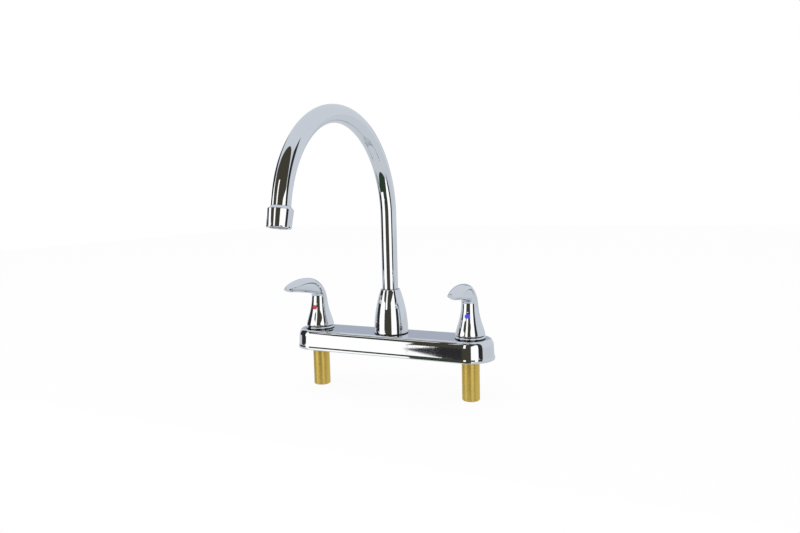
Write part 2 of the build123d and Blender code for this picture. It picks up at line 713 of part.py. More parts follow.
outlet_way = (0, -sin(radians(ARCH_TURN)), cos(radians(ARCH_TURN)))
arch_end = Plane(on_arch(ARCH_TURN), x_dir=(1, 0, 0), z_dir=outlet_way)
outlet = arch_end.offset(OUTLET_RUN)

with BuildPart() as spout_tube:
    with BuildLine():
        Line((0, 0, FERRULE_TOP), on_arch(0))
        ThreePointArc(on_arch(0), on_arch(ARCH_TURN / 2), on_arch(ARCH_TURN))
        Line(arch_end.origin, outlet.offset(AERATOR_THREAD).origin)
    with BuildSketch(level(0, FERRULE_TOP)):
        Circle(TUBE_RADIUS)
        Circle(TUBE_BORE, mode=Mode.SUBTRACT)
    sweep()
save(spout_tube, "spout_tube")

# ---- aerator ------------------------------------------------------------------------

outlet_side = Plane(outlet.origin, x_dir=(1, 0, 0), z_dir=(0, -outlet_way[2], outlet_way[1]))
outlet_axis = Axis(outlet.origin, outlet_way)

with BuildPart() as aerator_housing:
    with BuildSketch(outlet_side):
        with BuildLine():
            Polyline(
                (TUBE_RADIUS + ASSEMBLY_GAP, 0),
                (AERATOR_RIM_RADIUS, 0),
                (AERATOR_TOP_RADIUS, AERATOR_SHOULDER),
                (AERATOR_END_RADIUS, AERATOR_LENGTH),
                (AERATOR_LIP_BORE, AERATOR_LENGTH),
                (AERATOR_LIP_BORE, AERATOR_LENGTH - AERATOR_LIP),
                (TUBE_RADIUS + ASSEMBLY_GAP, AERATOR_LENGTH - AERATOR_LIP),
                close=True,
            )
        make_face()
    revolve(axis=outlet_axis)
    with BuildSketch(outlet.offset(AERATOR_LENGTH - AERATOR_NOTCH_DEPTH)):
        with PolarLocations(AERATOR_TOP_RADIUS, AERATOR_NOTCHES):
            Rectangle(2 * AERATOR_NOTCH_REACH, AERATOR_NOTCH_WIDTH)
    extrude(amount=AERATOR_NOTCH_DEPTH, mode=Mode.SUBTRACT)
save(aerator_housing, "aerator_housing")

with BuildPart() as aerator_washer:
    with BuildSketch(outlet.offset(AERATOR_THREAD)):
        Circle(CORE_RADIUS)
        Circle(WASHER_BORE, mode=Mode.SUBTRACT)
    extrude(amount=WASHER_THICKNESS)
save(aerator_washer, "aerator_washer")

with BuildPart() as aerator_screen:
    with BuildSketch(outlet.offset(SCREEN_START)):
        Circle(CORE_RADIUS)
        with GridLocations(SCREEN_PITCH, SCREEN_PITCH, SCREEN_ROWS, SCREEN_ROWS):
            Circle(SCREEN_HOLE, mode=Mode.SUBTRACT)
    extrude(amount=SCREEN_THICKNESS)
save(aerator_screen, "aerator_screen")

with BuildPart() as aerator_insert:
    with BuildSketch(outlet.offset(INSERT_START)):
        Circle(CORE_RADIUS)
    extrude(amount=INSERT_LENGTH)
    with BuildSketch(outlet.offset(INSERT_START)):
        Circle(CORE_RADIUS - INSERT_WALL)
    extrude(amount=INSERT_LENGTH - INSERT_FLOOR, mode=Mode.SUBTRACT)
    with BuildSketch(outlet.offset(INSERT_START)):
        Circle(INSERT_HOLE)
        for circle_radius, count in INSERT_ROWS:
            with PolarLocations(circle_radius, count):
                Circle(INSERT_HOLE)
    extrude(amount=INSERT_LENGTH, mode=Mode.SUBTRACT)
save(aerator_insert, "aerator_insert")
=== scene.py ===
# %% [markdown]
# # A two handle kitchen faucet
# A gooseneck spout stands between two lever valves on one long chrome cover. Two brass shanks
# go down through the counter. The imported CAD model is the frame: it says where every piece is.
# The pieces that show get a new, smoother skin here, because bright chrome is a mirror and
# shows each facet. What is hidden inside stays as the CAD made it, with a finish of its own.

# %% Load the frame
import json
from math import atan2, cos, pi, radians, sin, sqrt, tan

import bpy
from mathutils import Matrix, Vector


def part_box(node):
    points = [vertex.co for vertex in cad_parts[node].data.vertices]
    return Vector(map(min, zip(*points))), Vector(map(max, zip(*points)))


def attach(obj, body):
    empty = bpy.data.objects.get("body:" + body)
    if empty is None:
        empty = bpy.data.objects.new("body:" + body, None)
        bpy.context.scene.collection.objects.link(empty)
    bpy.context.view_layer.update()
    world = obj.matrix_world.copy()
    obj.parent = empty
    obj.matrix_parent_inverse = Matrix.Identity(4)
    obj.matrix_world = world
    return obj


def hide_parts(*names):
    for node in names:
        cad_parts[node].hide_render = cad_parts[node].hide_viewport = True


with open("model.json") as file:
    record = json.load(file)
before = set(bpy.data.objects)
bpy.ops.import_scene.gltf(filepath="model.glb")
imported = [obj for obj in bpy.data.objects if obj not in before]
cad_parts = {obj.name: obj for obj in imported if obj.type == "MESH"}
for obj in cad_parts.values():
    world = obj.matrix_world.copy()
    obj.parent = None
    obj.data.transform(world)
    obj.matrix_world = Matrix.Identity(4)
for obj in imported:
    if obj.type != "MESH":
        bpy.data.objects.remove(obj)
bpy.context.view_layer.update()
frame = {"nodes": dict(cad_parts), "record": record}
NODES = frame["nodes"]
MM = 0.001

# %% [markdown]
# ## Where things stand
# All the places that the skins need are read from the CAD nodes' own boxes, so a skin can't
# drift away from the part that it covers.

# %% Read the places from the CAD
def corner(node):
    """The lowest and highest corner of a CAD node, in millimetres."""
    low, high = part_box(node)
    return low / MM, high / MM


VALVES = {}
for side, outward in (("hot", -1), ("cold", 1)):
    low, high = corner(f"{side}_trim_ring")
    VALVES[side] = {"x": (low.x + high.x) / 2, "outward": outward}
COVER_TOP = corner("deck_cover")[1].z
COVER_END = corner("deck_cover")[1].y
RING_RADIUS = corner("hot_trim_ring")[1].y
RING_TOP = corner("hot_trim_ring")[1].z
HUB_BOTTOM = corner("spout_hub")[0].z
HUB_TOP = corner("spout_hub")[1].z
HUB_RADIUS = corner("spout_hub")[1].y
TUBE_RADIUS = corner("spout_tube")[1].x
TUBE_BOTTOM = corner("spout_tube")[0].z
SHANK_BOTTOM = corner("hot_shank")[0].z
SHANK_TOP = corner("hot_shank")[1].z
BELL_BOTTOM = corner("hot_handle")[0].z
BELL_RADIUS = corner("hot_handle")[1].y
print("valves at", [round(v["x"], 1) for v in VALVES.values()], "cover top at", round(COVER_TOP, 2))

# %% [markdown]
# ## Ways of working
# Nearly every piece of a faucet is turned on a lathe or bent from a tube. A turned piece is
# modelled as on a potter's wheel: one circle is added, and it is extruded and resized ring by
# ring up its profile. Everything is deselected first, because the frame leaves its nodes
# selected and an operator would act on them too.

# %% Turn a piece
def start_circle(name, count, radius, height, first_angle=0.0):
    """A bare circle round the Z axis, in edit mode with all of it selected."""
    bpy.ops.object.select_all(action="DESELECT")
    bpy.ops.mesh.primitive_circle_add(vertices=count, radius=radius * MM, location=(0, 0, height * MM),
                                      rotation=(0, 0, first_angle))
    piece = bpy.context.object
    piece.name = name
    piece.data.name = name
    bpy.ops.object.transform_apply(location=True, rotation=True, scale=True)
    bpy.ops.object.mode_set(mode="EDIT")
    bpy.ops.mesh.select_all(action="SELECT")
    return piece


def close_skin(piece, merge=0.004):
    """Merge what meets, turn the faces outwards and leave edit mode."""
    bpy.ops.mesh.select_all(action="SELECT")
    bpy.ops.mesh.remove_doubles(threshold=merge * MM)
    bpy.ops.mesh.normals_make_consistent(inside=False)
    bpy.ops.object.mode_set(mode="OBJECT")


def turned(name, profile, count=96, first_angle=0.0, closed=True):
    """A turned piece: profile is a list of (radius, height) in mm, one ring for each point."""
    piece = start_circle(name, count, profile[0][0], profile[0][1], first_angle)
    for (radius, height), (next_radius, next_height) in zip(profile, profile[1:]):
        bpy.ops.mesh.extrude_region_move(
            TRANSFORM_OT_translate={"value": (0, 0, (next_height - height) * MM)})
        grow = next_radius / radius
        bpy.ops.transform.resize(value=(grow, grow, 1), center_override=(0, 0, next_height * MM))
    if closed:
        close_skin(piece)
    return piece


def rounding(centre, radius, first, last, steps):
    """Points of an arc in a profile, from one angle to another, in degrees."""
    points = []
    for i in range(steps + 1):
        angle = radians(first + (last - first) * i / steps)
        points.append((centre[0] + radius * cos(angle), centre[1] + radius * sin(angle)))
    return points


print("a quarter round:", [(round(r, 2), round(z, 2)) for r, z in rounding((0, 0), 2, 0, 90, 3)])

# %% [markdown]
# A skin takes a few more steps. Points are picked by their place, to be moved. The shading is
# smooth but keeps crisp edges. The place goes into the mesh, because the export puts every
# object at the origin. Last, the piece is parented to the empty of the body it rides on, the
# CAD node that it replaces is hidden, and it gets its finish.

# %% Pick, shade, place and dress
def grab(piece, test):
    """In edit mode, select only the points of a piece whose place passes a test."""
    bpy.ops.object.mode_set(mode="EDIT")
    bpy.ops.mesh.select_all(action="DESELECT")
    bpy.ops.object.mode_set(mode="OBJECT")
    for vertex in piece.data.vertices:
        vertex.select = test(vertex.co)
    bpy.ops.object.mode_set(mode="EDIT")


def select_alone(piece):
    """Select one piece and nothing else, so that the next operator acts on it."""
    bpy.ops.object.select_all(action="DESELECT")
    piece.select_set(True)
    bpy.context.view_layer.objects.active = piece


def shade(piece, angle=32.0, weighted=True):
    """Smooth shading with crisp edges; weighted keeps the large flat faces' own normal."""
    select_alone(piece)
    bpy.ops.object.shade_smooth_by_angle(angle=radians(angle))
    if weighted:
        piece.modifiers.new("even_normals", "WEIGHTED_NORMAL").keep_sharp = True
        bpy.ops.object.modifier_apply(modifier="even_normals")


def place(piece, x=0.0, y=0.0, z=0.0, tilt=0.0, turn=0.0):
    """Tilt about X, turn about Z and move; the place then goes into the mesh."""
    select_alone(piece)
    piece.rotation_euler = (radians(tilt), 0, radians(turn))
    piece.location = (x * MM, y * MM, z * MM)
    bpy.ops.object.transform_apply(location=True, rotation=True, scale=True)


def own_copy(piece, name):
    """A copy with a mesh of its own."""
    twin = piece.copy()
    twin.data = piece.data.copy()
    twin.name = name
    twin.data.name = name
    bpy.context.collection.objects.link(twin)
    return twin


def dress(piece, body, node, finish):
    """The piece rides on its body, stands for its CAD node and wears its finish."""
    piece.data.materials.clear()
    piece.data.materials.append(finish)
    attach(piece, body)
    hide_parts(node)


# %% [markdown]
# ## Finishes
# Every finish is made of nodes. A finish needs its colour, but also what the light shows: how
# sharp its mirror is, where that varies, and how fine its surface is. Object coordinates fix
# the pattern to the piece, so it travels with the piece when it turns.

# %% A base for all finishes
# Most of a noise pattern lies between these two values.
NOISE_LOW = 0.3
NOISE_HIGH = 0.7


def new_finish(name, colour, metallic, roughness):
    """A Principled material with its plain values, which patterns by object place then vary."""
    finish = bpy.data.materials.new(name)
    finish.use_nodes = True
    nodes = finish.node_tree.nodes
    shader = nodes["Principled BSDF"]
    shader.inputs["Base Color"].default_value = (*colour, 1)
    shader.inputs["Metallic"].default_value = metallic
    shader.inputs["Roughness"].default_value = roughness
    where = nodes.new("ShaderNodeTexCoord")
    return finish, shader, where


def noise(finish, where, scale, detail=3.0):
    """A noise pattern, scale in bumps for each metre."""
    node = finish.node_tree.nodes.new("ShaderNodeTexNoise")
    node.inputs["Scale"].default_value = scale
    node.inputs["Detail"].default_value = detail
    finish.node_tree.links.new(where.outputs["Object"], node.inputs["Vector"])
    return node.outputs["Fac"]


def spread(finish, value, low, high):
    """Spread the middle of a noise pattern over low to high."""
    node = finish.node_tree.nodes.new("ShaderNodeMapRange")
    node.inputs["From Min"].default_value = NOISE_LOW
    node.inputs["From Max"].default_value = NOISE_HIGH
    node.inputs["To Min"].default_value = low
    node.inputs["To Max"].default_value = high
    finish.node_tree.links.new(value, node.inputs["Value"])
    return node.outputs["Result"]


def bump(finish, shader, value, depth_mm, strength):
    """Let a pattern tilt the surface as if it stood this deep."""
    node = finish.node_tree.nodes.new("ShaderNodeBump")
    node.inputs["Distance"].default_value = depth_mm * MM
    node.inputs["Strength"].default_value = strength
    finish.node_tree.links.new(value, node.inputs["Height"])
    finish.node_tree.links.new(node.outputs["Normal"], shader.inputs["Normal"])


def mix_colours(tree, factor, first, second):
    """Blend from the first to the second; each is a colour or the output of another node."""
    node = tree.nodes.new("ShaderNodeMix")
    node.data_type = "RGBA"
    tree.links.new(factor, node.inputs["Factor"])
    for socket, colour in (("A", first), ("B", second)):
        if isinstance(colour, tuple):
            node.inputs[socket].default_value = (*colour, 1)
        else:
            tree.links.new(colour, node.inputs[socket])
    return node.outputs["Result"]


def two_tone(finish, shader, value, dark, light):
    """Mix two colours by a pattern into the base colour."""
    mixed = mix_colours(finish.node_tree, value, dark, light)
    finish.node_tree.links.new(mixed, shader.inputs["Base Color"])


# %% [markdown]
# ### Chrome plate
# Chrome is a slightly blue mirror. Polished castings keep a faint unevenness, and touch leaves
# areas that are a little duller, so the roughness wanders between two low values. Shade is
# painted into the colour at the seams: the Ambient Occlusion node, which measures how open the
# space in front of a point is, darkens the last two millimetres before another piece, as a
# painted contact shadow.

# %% Chrome
# Painted shade in the seams: how far it reaches in mm, its colour and the AO node's samples.
SEAM_REACH = 2.0
SEAM_SHADE_COLOUR = (0.03, 0.035, 0.05)
SEAM_SAMPLES = 8
# A point takes the painted seam shade up to the first openness and unshaded chrome from the second.
SEAM_SHUT = 0.4
SEAM_OPEN = 0.92
CHROME_COLOUR = (0.80, 0.815, 0.835)
CHROME_TONES = ((0.79, 0.805, 0.825), (0.82, 0.83, 0.85))
CHROME_POLISHED = 0.015
CHROME_TOUCHED = 0.05
# Touched areas, changes of tone and waves of the casting, all counted for each metre.
TOUCH_SCALE = 45
TONE_SCALE = 30
WAVE_SCALE = 260
WAVE_DEPTH = 0.004


def painted_seam_shade(finish, shader):
    """Paint shade into a finish's colour where other surfaces stand close in front of it."""
    nodes, links = finish.node_tree.nodes, finish.node_tree.links
    closeness = nodes.new("ShaderNodeAmbientOcclusion")
    closeness.samples = SEAM_SAMPLES
    closeness.inputs["Distance"].default_value = SEAM_REACH * MM
    openness = nodes.new("ShaderNodeMapRange")
    openness.inputs["From Min"].default_value = SEAM_SHUT
    openness.inputs["From Max"].default_value = SEAM_OPEN
    links.new(closeness.outputs["AO"], openness.inputs["Value"])
    unshaded = shader.inputs["Base Color"].links[0].from_socket
    # The AO's openness mixes a painted shadow colour into the chrome's own colour.
    seam_shaded = mix_colours(finish.node_tree, openness.outputs["Result"], SEAM_SHADE_COLOUR, unshaded)
    links.new(seam_shaded, shader.inputs["Base Color"])


def make_chrome():
    """The mirror with its touched areas, its two tones, its painted seam shade and its faint waves."""
    finish, shader, where = new_finish("chrome_plate", CHROME_COLOUR, metallic=1.0, roughness=0.04)
    touch = noise(finish, where, TOUCH_SCALE, detail=4)
    polish = spread(finish, touch, CHROME_POLISHED, CHROME_TOUCHED)
    finish.node_tree.links.new(polish, shader.inputs["Roughness"])
    two_tone(finish, shader, noise(finish, where, TONE_SCALE), *CHROME_TONES)
    painted_seam_shade(finish, shader)
    bump(finish, shader, noise(finish, where, WAVE_SCALE, detail=2), WAVE_DEPTH, strength=0.3)
    return finish


CHROME = make_chrome()
print(CHROME.name, "is made of", len(CHROME.node_tree.nodes), "nodes")

# %% [markdown]
# ### Brass
# The shanks are plain brass bar, turned on a lathe: the tool leaves fine rings round the axis,
# which stretch a highlight along the shank. A wave pattern in bands up Z makes the rings. They
# are too fine for a pixel, so a tangent that runs round Z and the shader's anisotropy do the
# stretching. Copper tube and steel wire are drawn, which leaves them much the same.

# %% Brass and copper
# This scale of the wave pattern puts a ring of the tool about every half millimetre.
TOOL_SCALE = 620
TOOL_WOBBLE = 0.6
TOOL_DETAIL = 2
TOOL_DEPTH = 0.006
TARNISH_SCALE = 70
# How far a highlight is stretched, and the quarter of a turn that lays it along Z.
STRETCH = 0.9
STRETCH_TURN = 0.25


def make_turned_metal(name, dark, light, low, high):
    """A metal between two colours and two values of roughness, with the rings of its tool."""
    finish, shader, where = new_finish(name, light, metallic=1.0, roughness=(low + high) / 2)
    nodes, links = finish.node_tree.nodes, finish.node_tree.links
    rings = nodes.new("ShaderNodeTexWave")
    rings.bands_direction = "Z"
    rings.inputs["Scale"].default_value = TOOL_SCALE
    rings.inputs["Distortion"].default_value = TOOL_WOBBLE
    rings.inputs["Detail"].default_value = TOOL_DETAIL
    links.new(where.outputs["Object"], rings.inputs["Vector"])
    tarnish = noise(finish, where, TARNISH_SCALE, detail=5)
    links.new(spread(finish, tarnish, low, high), shader.inputs["Roughness"])
    two_tone(finish, shader, tarnish, dark, light)
    bump(finish, shader, rings.outputs["Fac"], TOOL_DEPTH, strength=0.35)
    round_z = nodes.new("ShaderNodeTangent")
    round_z.direction_type = "RADIAL"
    round_z.axis = "Z"
    links.new(round_z.outputs["Tangent"], shader.inputs["Tangent"])
    shader.inputs["Anisotropic"].default_value = STRETCH
    shader.inputs["Anisotropic Rotation"].default_value = STRETCH_TURN
    return finish


BRASS = make_turned_metal("turned_brass", (0.79, 0.54, 0.12), (0.89, 0.63, 0.16), 0.32, 0.42)
COPPER = make_turned_metal("drawn_copper", (0.60, 0.30, 0.18), (0.74, 0.40, 0.26), 0.22, 0.36)
STEEL = make_turned_metal("plain_steel", (0.50, 0.50, 0.51), (0.62, 0.63, 0.64), 0.22, 0.34)
print("turned and drawn metals:", BRASS.name, COPPER.name, STEEL.name)

# %% [markdown]
# ### Plastics, rubber and ceramic
# Moulded plastic has a fine grain from its mould, rubber is dull and speckled, and lapped
# ceramic is nearly smooth. One function makes them all, with the grain's size and depth.

# %% Moulded and lapped materials
BLEND_SCALE = 90
# For each slot: the finish's name, its dark and its light tone, its lowest and its highest
# roughness, and its grain: the bumps for each metre and their depth in mm.
MOULDED = {
    "ceramic": ("lapped_ceramic", (0.84, 0.84, 0.82), (0.90, 0.90, 0.88), 0.12, 0.2, 900, 0.002),
    "rubber": ("seal_rubber", (0.02, 0.02, 0.02), (0.04, 0.04, 0.04), 0.6, 0.8, 1500, 0.02),
    "cartridge_plastic": ("cartridge_plastic", (0.66, 0.66, 0.63), (0.75, 0.75, 0.72),
                          0.4, 0.55, 1400, 0.01),
    "plate_plastic": ("plate_plastic", (0.08, 0.08, 0.09), (0.12, 0.12, 0.13), 0.45, 0.65, 1200, 0.02),
    "glide_plastic": ("glide_plastic", (0.03, 0.03, 0.03), (0.06, 0.06, 0.06), 0.4, 0.55, 1400, 0.01),
    "insert_plastic": ("insert_plastic", (0.76, 0.76, 0.74), (0.85, 0.85, 0.83), 0.35, 0.5, 1400, 0.01),
    "hot_index": ("red_button", (0.50, 0.01, 0.03), (0.62, 0.02, 0.05), 0.16, 0.28, 1400, 0.004),
    "cold_index": ("blue_button", (0.06, 0.07, 0.70), (0.10, 0.11, 0.85), 0.16, 0.28, 1400, 0.004),
}


def make_moulded(name, dark, light, low, high, grain, depth_mm):
    """A plain material between two colours and two values of roughness, with its grain."""
    finish, shader, where = new_finish(name, light, metallic=0.0, roughness=(low + high) / 2)
    blend = noise(finish, where, BLEND_SCALE, detail=4)
    finish.node_tree.links.new(spread(finish, blend, low, high), shader.inputs["Roughness"])
    two_tone(finish, shader, blend, dark, light)
    bump(finish, shader, noise(finish, where, grain, detail=2), depth_mm, strength=0.5)
    return finish


FINISHES = {"chrome": CHROME, "brass": BRASS, "copper": COPPER, "steel": STEEL}
for slot_name, look in MOULDED.items():
    FINISHES[slot_name] = make_moulded(*look)
print("finishes:", len(FINISHES))

# %% [markdown]
# The hidden pieces keep their CAD meshes. The frame's record names the material slot of every
# node, and the slot says which finish the node gets.

# %% Finishes for the CAD nodes
SLOT_OF = {s["node"]: s["material_slot"] for s in frame["record"]["subparts"]}
for name, node in NODES.items():
    node.data.materials.clear()
    node.data.materials.append(FINISHES[SLOT_OF[name]])
print("slots in use:", len(set(SLOT_OF.values())))

# %% [markdown]
# ## Deck cover
# The real cover is drawn from sheet: a long shell with round ends, a low rim, walls that lean
# in a little and a large soft edge. It could be extruded from a slot shape and bevelled. Here
# it is turned first, as a round lid with the ends' own radius, and then pulled apart to the
# eight inch centres, so that the soft edge stays perfectly even all the way round.

# %% Profile of the cover
COVER_LIP = 4.5
COVER_LIP_STEP = 0.8
COVER_LIP_SLOPE = 1.7
COVER_RIM_ROUND = 0.8
COVER_WALL = 2.2
COVER_DRAFT = 3.0
COVER_EDGE = 7.0
# A narrow ring of the top face next to the soft edge keeps the shading there even.
COVER_TOP_RING = 3.0
NEARLY_NOTHING = 0.002
# A corner is eased by one more ring, this far in and this far up.
EASE_IN = 0.02
EASE_UP = 0.1
# How steeply the soft edge leans, in degrees, at shares of the way up to the top face.
EDGE_LEANS = ((0.0, 3.0), (0.02, 12.0), (0.2, 15.0), (0.38, 18.0), (0.55, 24.0), (0.69, 32.0),
              (0.83, 44.0), (0.93, 60.0), (0.98, 75.0), (1.0, 88.0))
# The soft edge's rings crowd together towards the top face, by this power.
EDGE_CROWDING = 1.6


def soft_edge(radius, height, rise, steps=40):
    """Climb from the wall to the top face; the lean between two given shares is blended."""
    points = [(radius, height)]
    for i in range(steps):
        share = 1 - (1 - (i + 0.5) / steps) ** EDGE_CROWDING
        for (low, lean_low), (high, lean_high) in zip(EDGE_LEANS, EDGE_LEANS[1:]):
            if low <= share <= high:
                lean = lean_low + (lean_high - lean_low) * (share - low) / (high - low)
        climb = rise * ((1 - i / steps) ** EDGE_CROWDING - (1 - (i + 1) / steps) ** EDGE_CROWDING)
        radius -= climb * tan(radians(lean))
        height += climb
        points.append((radius, height))
    return points


def cover_profile():
    """From the middle of the ceiling, down inside, round the rim and up to the top."""
    wall = COVER_END - COVER_LIP_STEP
    lean = tan(radians(COVER_DRAFT))
    ceiling = COVER_TOP - COVER_WALL
    edge_z = COVER_TOP - COVER_EDGE
    points = [
        (NEARLY_NOTHING, ceiling),
        (wall - COVER_WALL - lean * ceiling, ceiling),
        (wall - COVER_WALL, 0),
    ]
    points += rounding((COVER_END - COVER_RIM_ROUND, COVER_RIM_ROUND), COVER_RIM_ROUND, -90, 0, 6)
    points += [
        (COVER_END, COVER_LIP - COVER_LIP_SLOPE - EASE_UP),
        (COVER_END - EASE_IN, COVER_LIP - COVER_LIP_SLOPE),
        (wall + EASE_IN, COVER_LIP - EASE_UP),
        (wall, COVER_LIP),
    ]
    points += soft_edge(wall - lean * (edge_z - COVER_LIP), edge_z, COVER_EDGE)
    points.append((points[-1][0] - COVER_TOP_RING, COVER_TOP))
    points.append((NEARLY_NOTHING, COVER_TOP))
    return points


print("rings in the cover's profile:", len(cover_profile()))

# %% Turn it and pull it apart
COVER_COUNT = 160
cover = turned("chrome_deck_cover", cover_profile(), COVER_COUNT, pi / COVER_COUNT, closed=False)
half_span = VALVES["cold"]["x"] * MM
for way in (1, -1):
    grab(cover, lambda p: p.x * way > 0 and abs(p.x) < half_span / 2)
    bpy.ops.transform.translate(value=(way * half_span, 0, 0))
close_skin(cover, merge=0.01)
shade(cover)
dress(cover, "base", "deck_cover", CHROME)
print("cover is", [round(d / MM, 1) for d in cover.dimensions], "mm")

# %% [markdown]
# ## Shanks
# Each valve hangs on a brass shank with a chamfered end and a bore. Their threads are too fine
# to be seen, so the skin is a smooth turned bar.

# %% Brass shanks
SHANK_RADIUS = 10.4
SHANK_BORE = 7.2
SPIGOT_RADIUS = 9.0
SHANK_CHAMFER = 1.0
BORE_CHAMFER = 0.4
shank_profile = [
    (SHANK_BORE, SHANK_TOP),
    (SHANK_BORE, SHANK_BOTTOM + BORE_CHAMFER),
    (SHANK_BORE + BORE_CHAMFER, SHANK_BOTTOM),
    (SHANK_RADIUS - SHANK_CHAMFER, SHANK_BOTTOM),
    (SHANK_RADIUS, SHANK_BOTTOM + SHANK_CHAMFER),
    (SHANK_RADIUS, 0),
    (SPIGOT_RADIUS, 0),
    (SPIGOT_RADIUS, SHANK_TOP),
    (SHANK_BORE, SHANK_TOP),
]
shank = turned("hot_brass_shank", shank_profile)
shade(shank)
cold_shank = own_copy(shank, "cold_brass_shank")
for piece, side in ((shank, "hot"), (cold_shank, "cold")):
    place(piece, x=VALVES[side]["x"])
    dress(piece, "base", f"{side}_shank", BRASS)
print("shanks reach down to", round(SHANK_BOTTOM, 1), "mm")

# %% [markdown]
# ## Trim rings
# A thin chrome ring lies under each handle. It slopes up to the handle, so it shows the pale
# ceiling, and it stands on a smaller foot, so a dark shadow line runs round it.

# %% Trim rings
RING_FOOT = 16.7
RING_FOOT_HEIGHT = 0.9
RING_ROUND = 0.4
RING_LEAN = 44.0
RING_WALL = 3.2
RING_FLANGE = 1.2
RING_BORE = 10.7
RING_EASE = 0.05


def ring_profile():
    """From the flange's bore, out under the foot, round the rim, up the slope and back."""
    low = COVER_TOP + RING_FOOT_HEIGHT
    inner = RING_RADIUS - RING_WALL
    middle = RING_RADIUS - RING_ROUND
    points = [
        (RING_BORE, COVER_TOP),
        (RING_FOOT, COVER_TOP),
        (RING_FOOT, low),
        (middle - RING_EASE, low),
    ]
    points += rounding((middle, low + RING_ROUND), RING_ROUND, -90, RING_LEAN, 10)
    slope_start = points[-1]
    points += [
        (slope_start[0] - (RING_TOP - slope_start[1]) * tan(radians(RING_LEAN)), RING_TOP),
        (inner, RING_TOP),
        (inner, COVER_TOP + RING_FLANGE),
        (RING_BORE, COVER_TOP + RING_FLANGE),
        (RING_BORE, COVER_TOP),
    ]
    return points


ring = turned("hot_chrome_ring", ring_profile(), 128)
shade(ring)
cold_ring = own_copy(ring, "cold_chrome_ring")
for piece, side in ((ring, "hot"), (cold_ring, "cold")):
    place(piece, x=VALVES[side]["x"])
    dress(piece, "base", f"{side}_trim_ring", CHROME)
print("trim rings", round(2 * RING_RADIUS, 1), "mm across")

# %% [markdown]
# ## Lever handles
# Each handle is one casting: a bell over the valve, a round neck, and a leaf-shaped lever that
# rises from the neck's back and curves forward. It could be sculpted, but a mirror finish
# wants even rings. So a straight tube of rings is extruded first, and then each ring is set to
# the slice of the casting that it stands for. A slice of the lever is two arcs with a crisp
# edge on each side. The lower arc starts a little inside the edge, and the narrow ledge
# between them draws the dark line along the lever.

# %% Slices of the lever
# Each row: underside (y, z) and crest (y, z) over the bell's top, half width at the edge, how
# far the edge lies under the crest, and the step in and down from the edge to the underside.
LEVER_SLICES = (
    (-10.4, 0.0, 10.4, 0.0, 10.40, 10.4, 0.06, 1.13),
    (-9.7, 6.2, 9.3, 7.5, 9.80, 9.9, 0.15, 1.00),
    (-10.0, 10.8, 7.1, 15.0, 9.50, 10.5, 0.30, 0.90),
    (-12.6, 13.2, 2.2, 22.0, 9.40, 10.8, 0.90, 0.70),
    (-17.7, 14.4, -5.3, 28.6, 9.40, 9.2, 1.50, 0.50),
    (-25.0, 15.8, -15.0, 33.0, 9.40, 6.8, 1.90, 0.40),
    (-33.0, 17.3, -27.0, 34.9, 9.30, 6.0, 2.00, 0.30),
    (-42.0, 18.9, -40.0, 34.9, 9.20, 5.7, 2.00, 0.30),
    (-51.0, 20.3, -52.0, 33.0, 8.80, 5.2, 1.80, 0.30),
    (-58.8, 21.4, -61.5, 29.9, 7.60, 4.3, 1.40, 0.25),
    (-64.2, 22.9, -66.7, 26.7, 4.60, 2.3, 0.70, 0.20),
)
BELL_HEIGHT = 28.0
BELL_TOP = BELL_BOTTOM + BELL_HEIGHT
HALF_COUNT = 33
RING_COUNT = 2 * HALF_COUNT
SLICE_STEPS = 7


def between(rows, steps):
    """Rows in between, on one smooth curve through all of them."""
    result = []
    for i in range(len(rows) - 1):
        a, b = rows[max(i - 1, 0)], rows[i]
        c, d = rows[i + 1], rows[min(i + 2, len(rows) - 1)]
        for step in range(steps):
            t = step / steps
            weights = (-0.5 * t + t * t - 0.5 * t ** 3, 1 - 2.5 * t * t + 1.5 * t ** 3,
                       0.5 * t + 2 * t * t - 1.5 * t ** 3, -0.5 * t * t + 0.5 * t ** 3)
            result.append([sum(w * r[k] for w, r in zip(weights, (a, b, c, d)))
                           for k in range(len(b))])
    result.append(list(rows[-1]))
    return result


def slice_point(row, j):
    """Point j of a slice: the first half of the points runs over the crest, the rest under."""
    low_y, low_z, top_y, top_z, half, crown, step_in, step_down = row
    depth = sqrt((top_y - low_y) ** 2 + (top_z - low_z) ** 2)
    crest = depth / 2
    edge = crest - crown
    if j < HALF_COUNT:
        middle = (crest ** 2 - edge ** 2 - half ** 2) / (2 * (crest - edge))
        reach = crest - middle
        first = atan2(edge - middle, half)
        angle = first + (pi - 2 * first) * j / (HALF_COUNT - 1)
    else:
        half -= step_in
        edge -= step_down
        middle = (half ** 2 + edge ** 2 - crest ** 2) / (2 * (crest + edge))
        reach = crest + middle
        first = atan2(edge - middle, half)
        angle = pi - first + (pi + 2 * first) * (j - HALF_COUNT) / (HALF_COUNT - 1)
    across = reach * cos(angle)
    up = middle + reach * sin(angle)
    y = (low_y + top_y) / 2 + up * (top_y - low_y) / depth
    z = BELL_TOP + (low_z + top_z) / 2 + up * (top_z - low_z) / depth
    return across, y, z


def round_point(radius, height, j):
    """Point j of a round ring of the bell, spaced as the first slice is."""
    across, y, _ = slice_point(LEVER_SLICES[0], j)
    grow = radius / sqrt(across ** 2 + y ** 2)
    return across * grow, y * grow, height


lever_rings = between(LEVER_SLICES, SLICE_STEPS)
print("slices of the lever:", len(lever_rings))

# %% Profile of the bell
NECK_RADIUS = 10.45
BELL_WAIST = (11.9, BELL_BOTTOM + 20.3)
# The cavity's rings, by radius and by height over the bell's foot.
CAVITY = ((4.05, 15.0), (8.2, 15.0), (14.3, 5.5), (14.3, 0.0))
FOOT_IN = 0.3
FOOT_ROUND = 0.7
FOOT_FLARE = 0.1
FOOT_CLEAR = 0.15
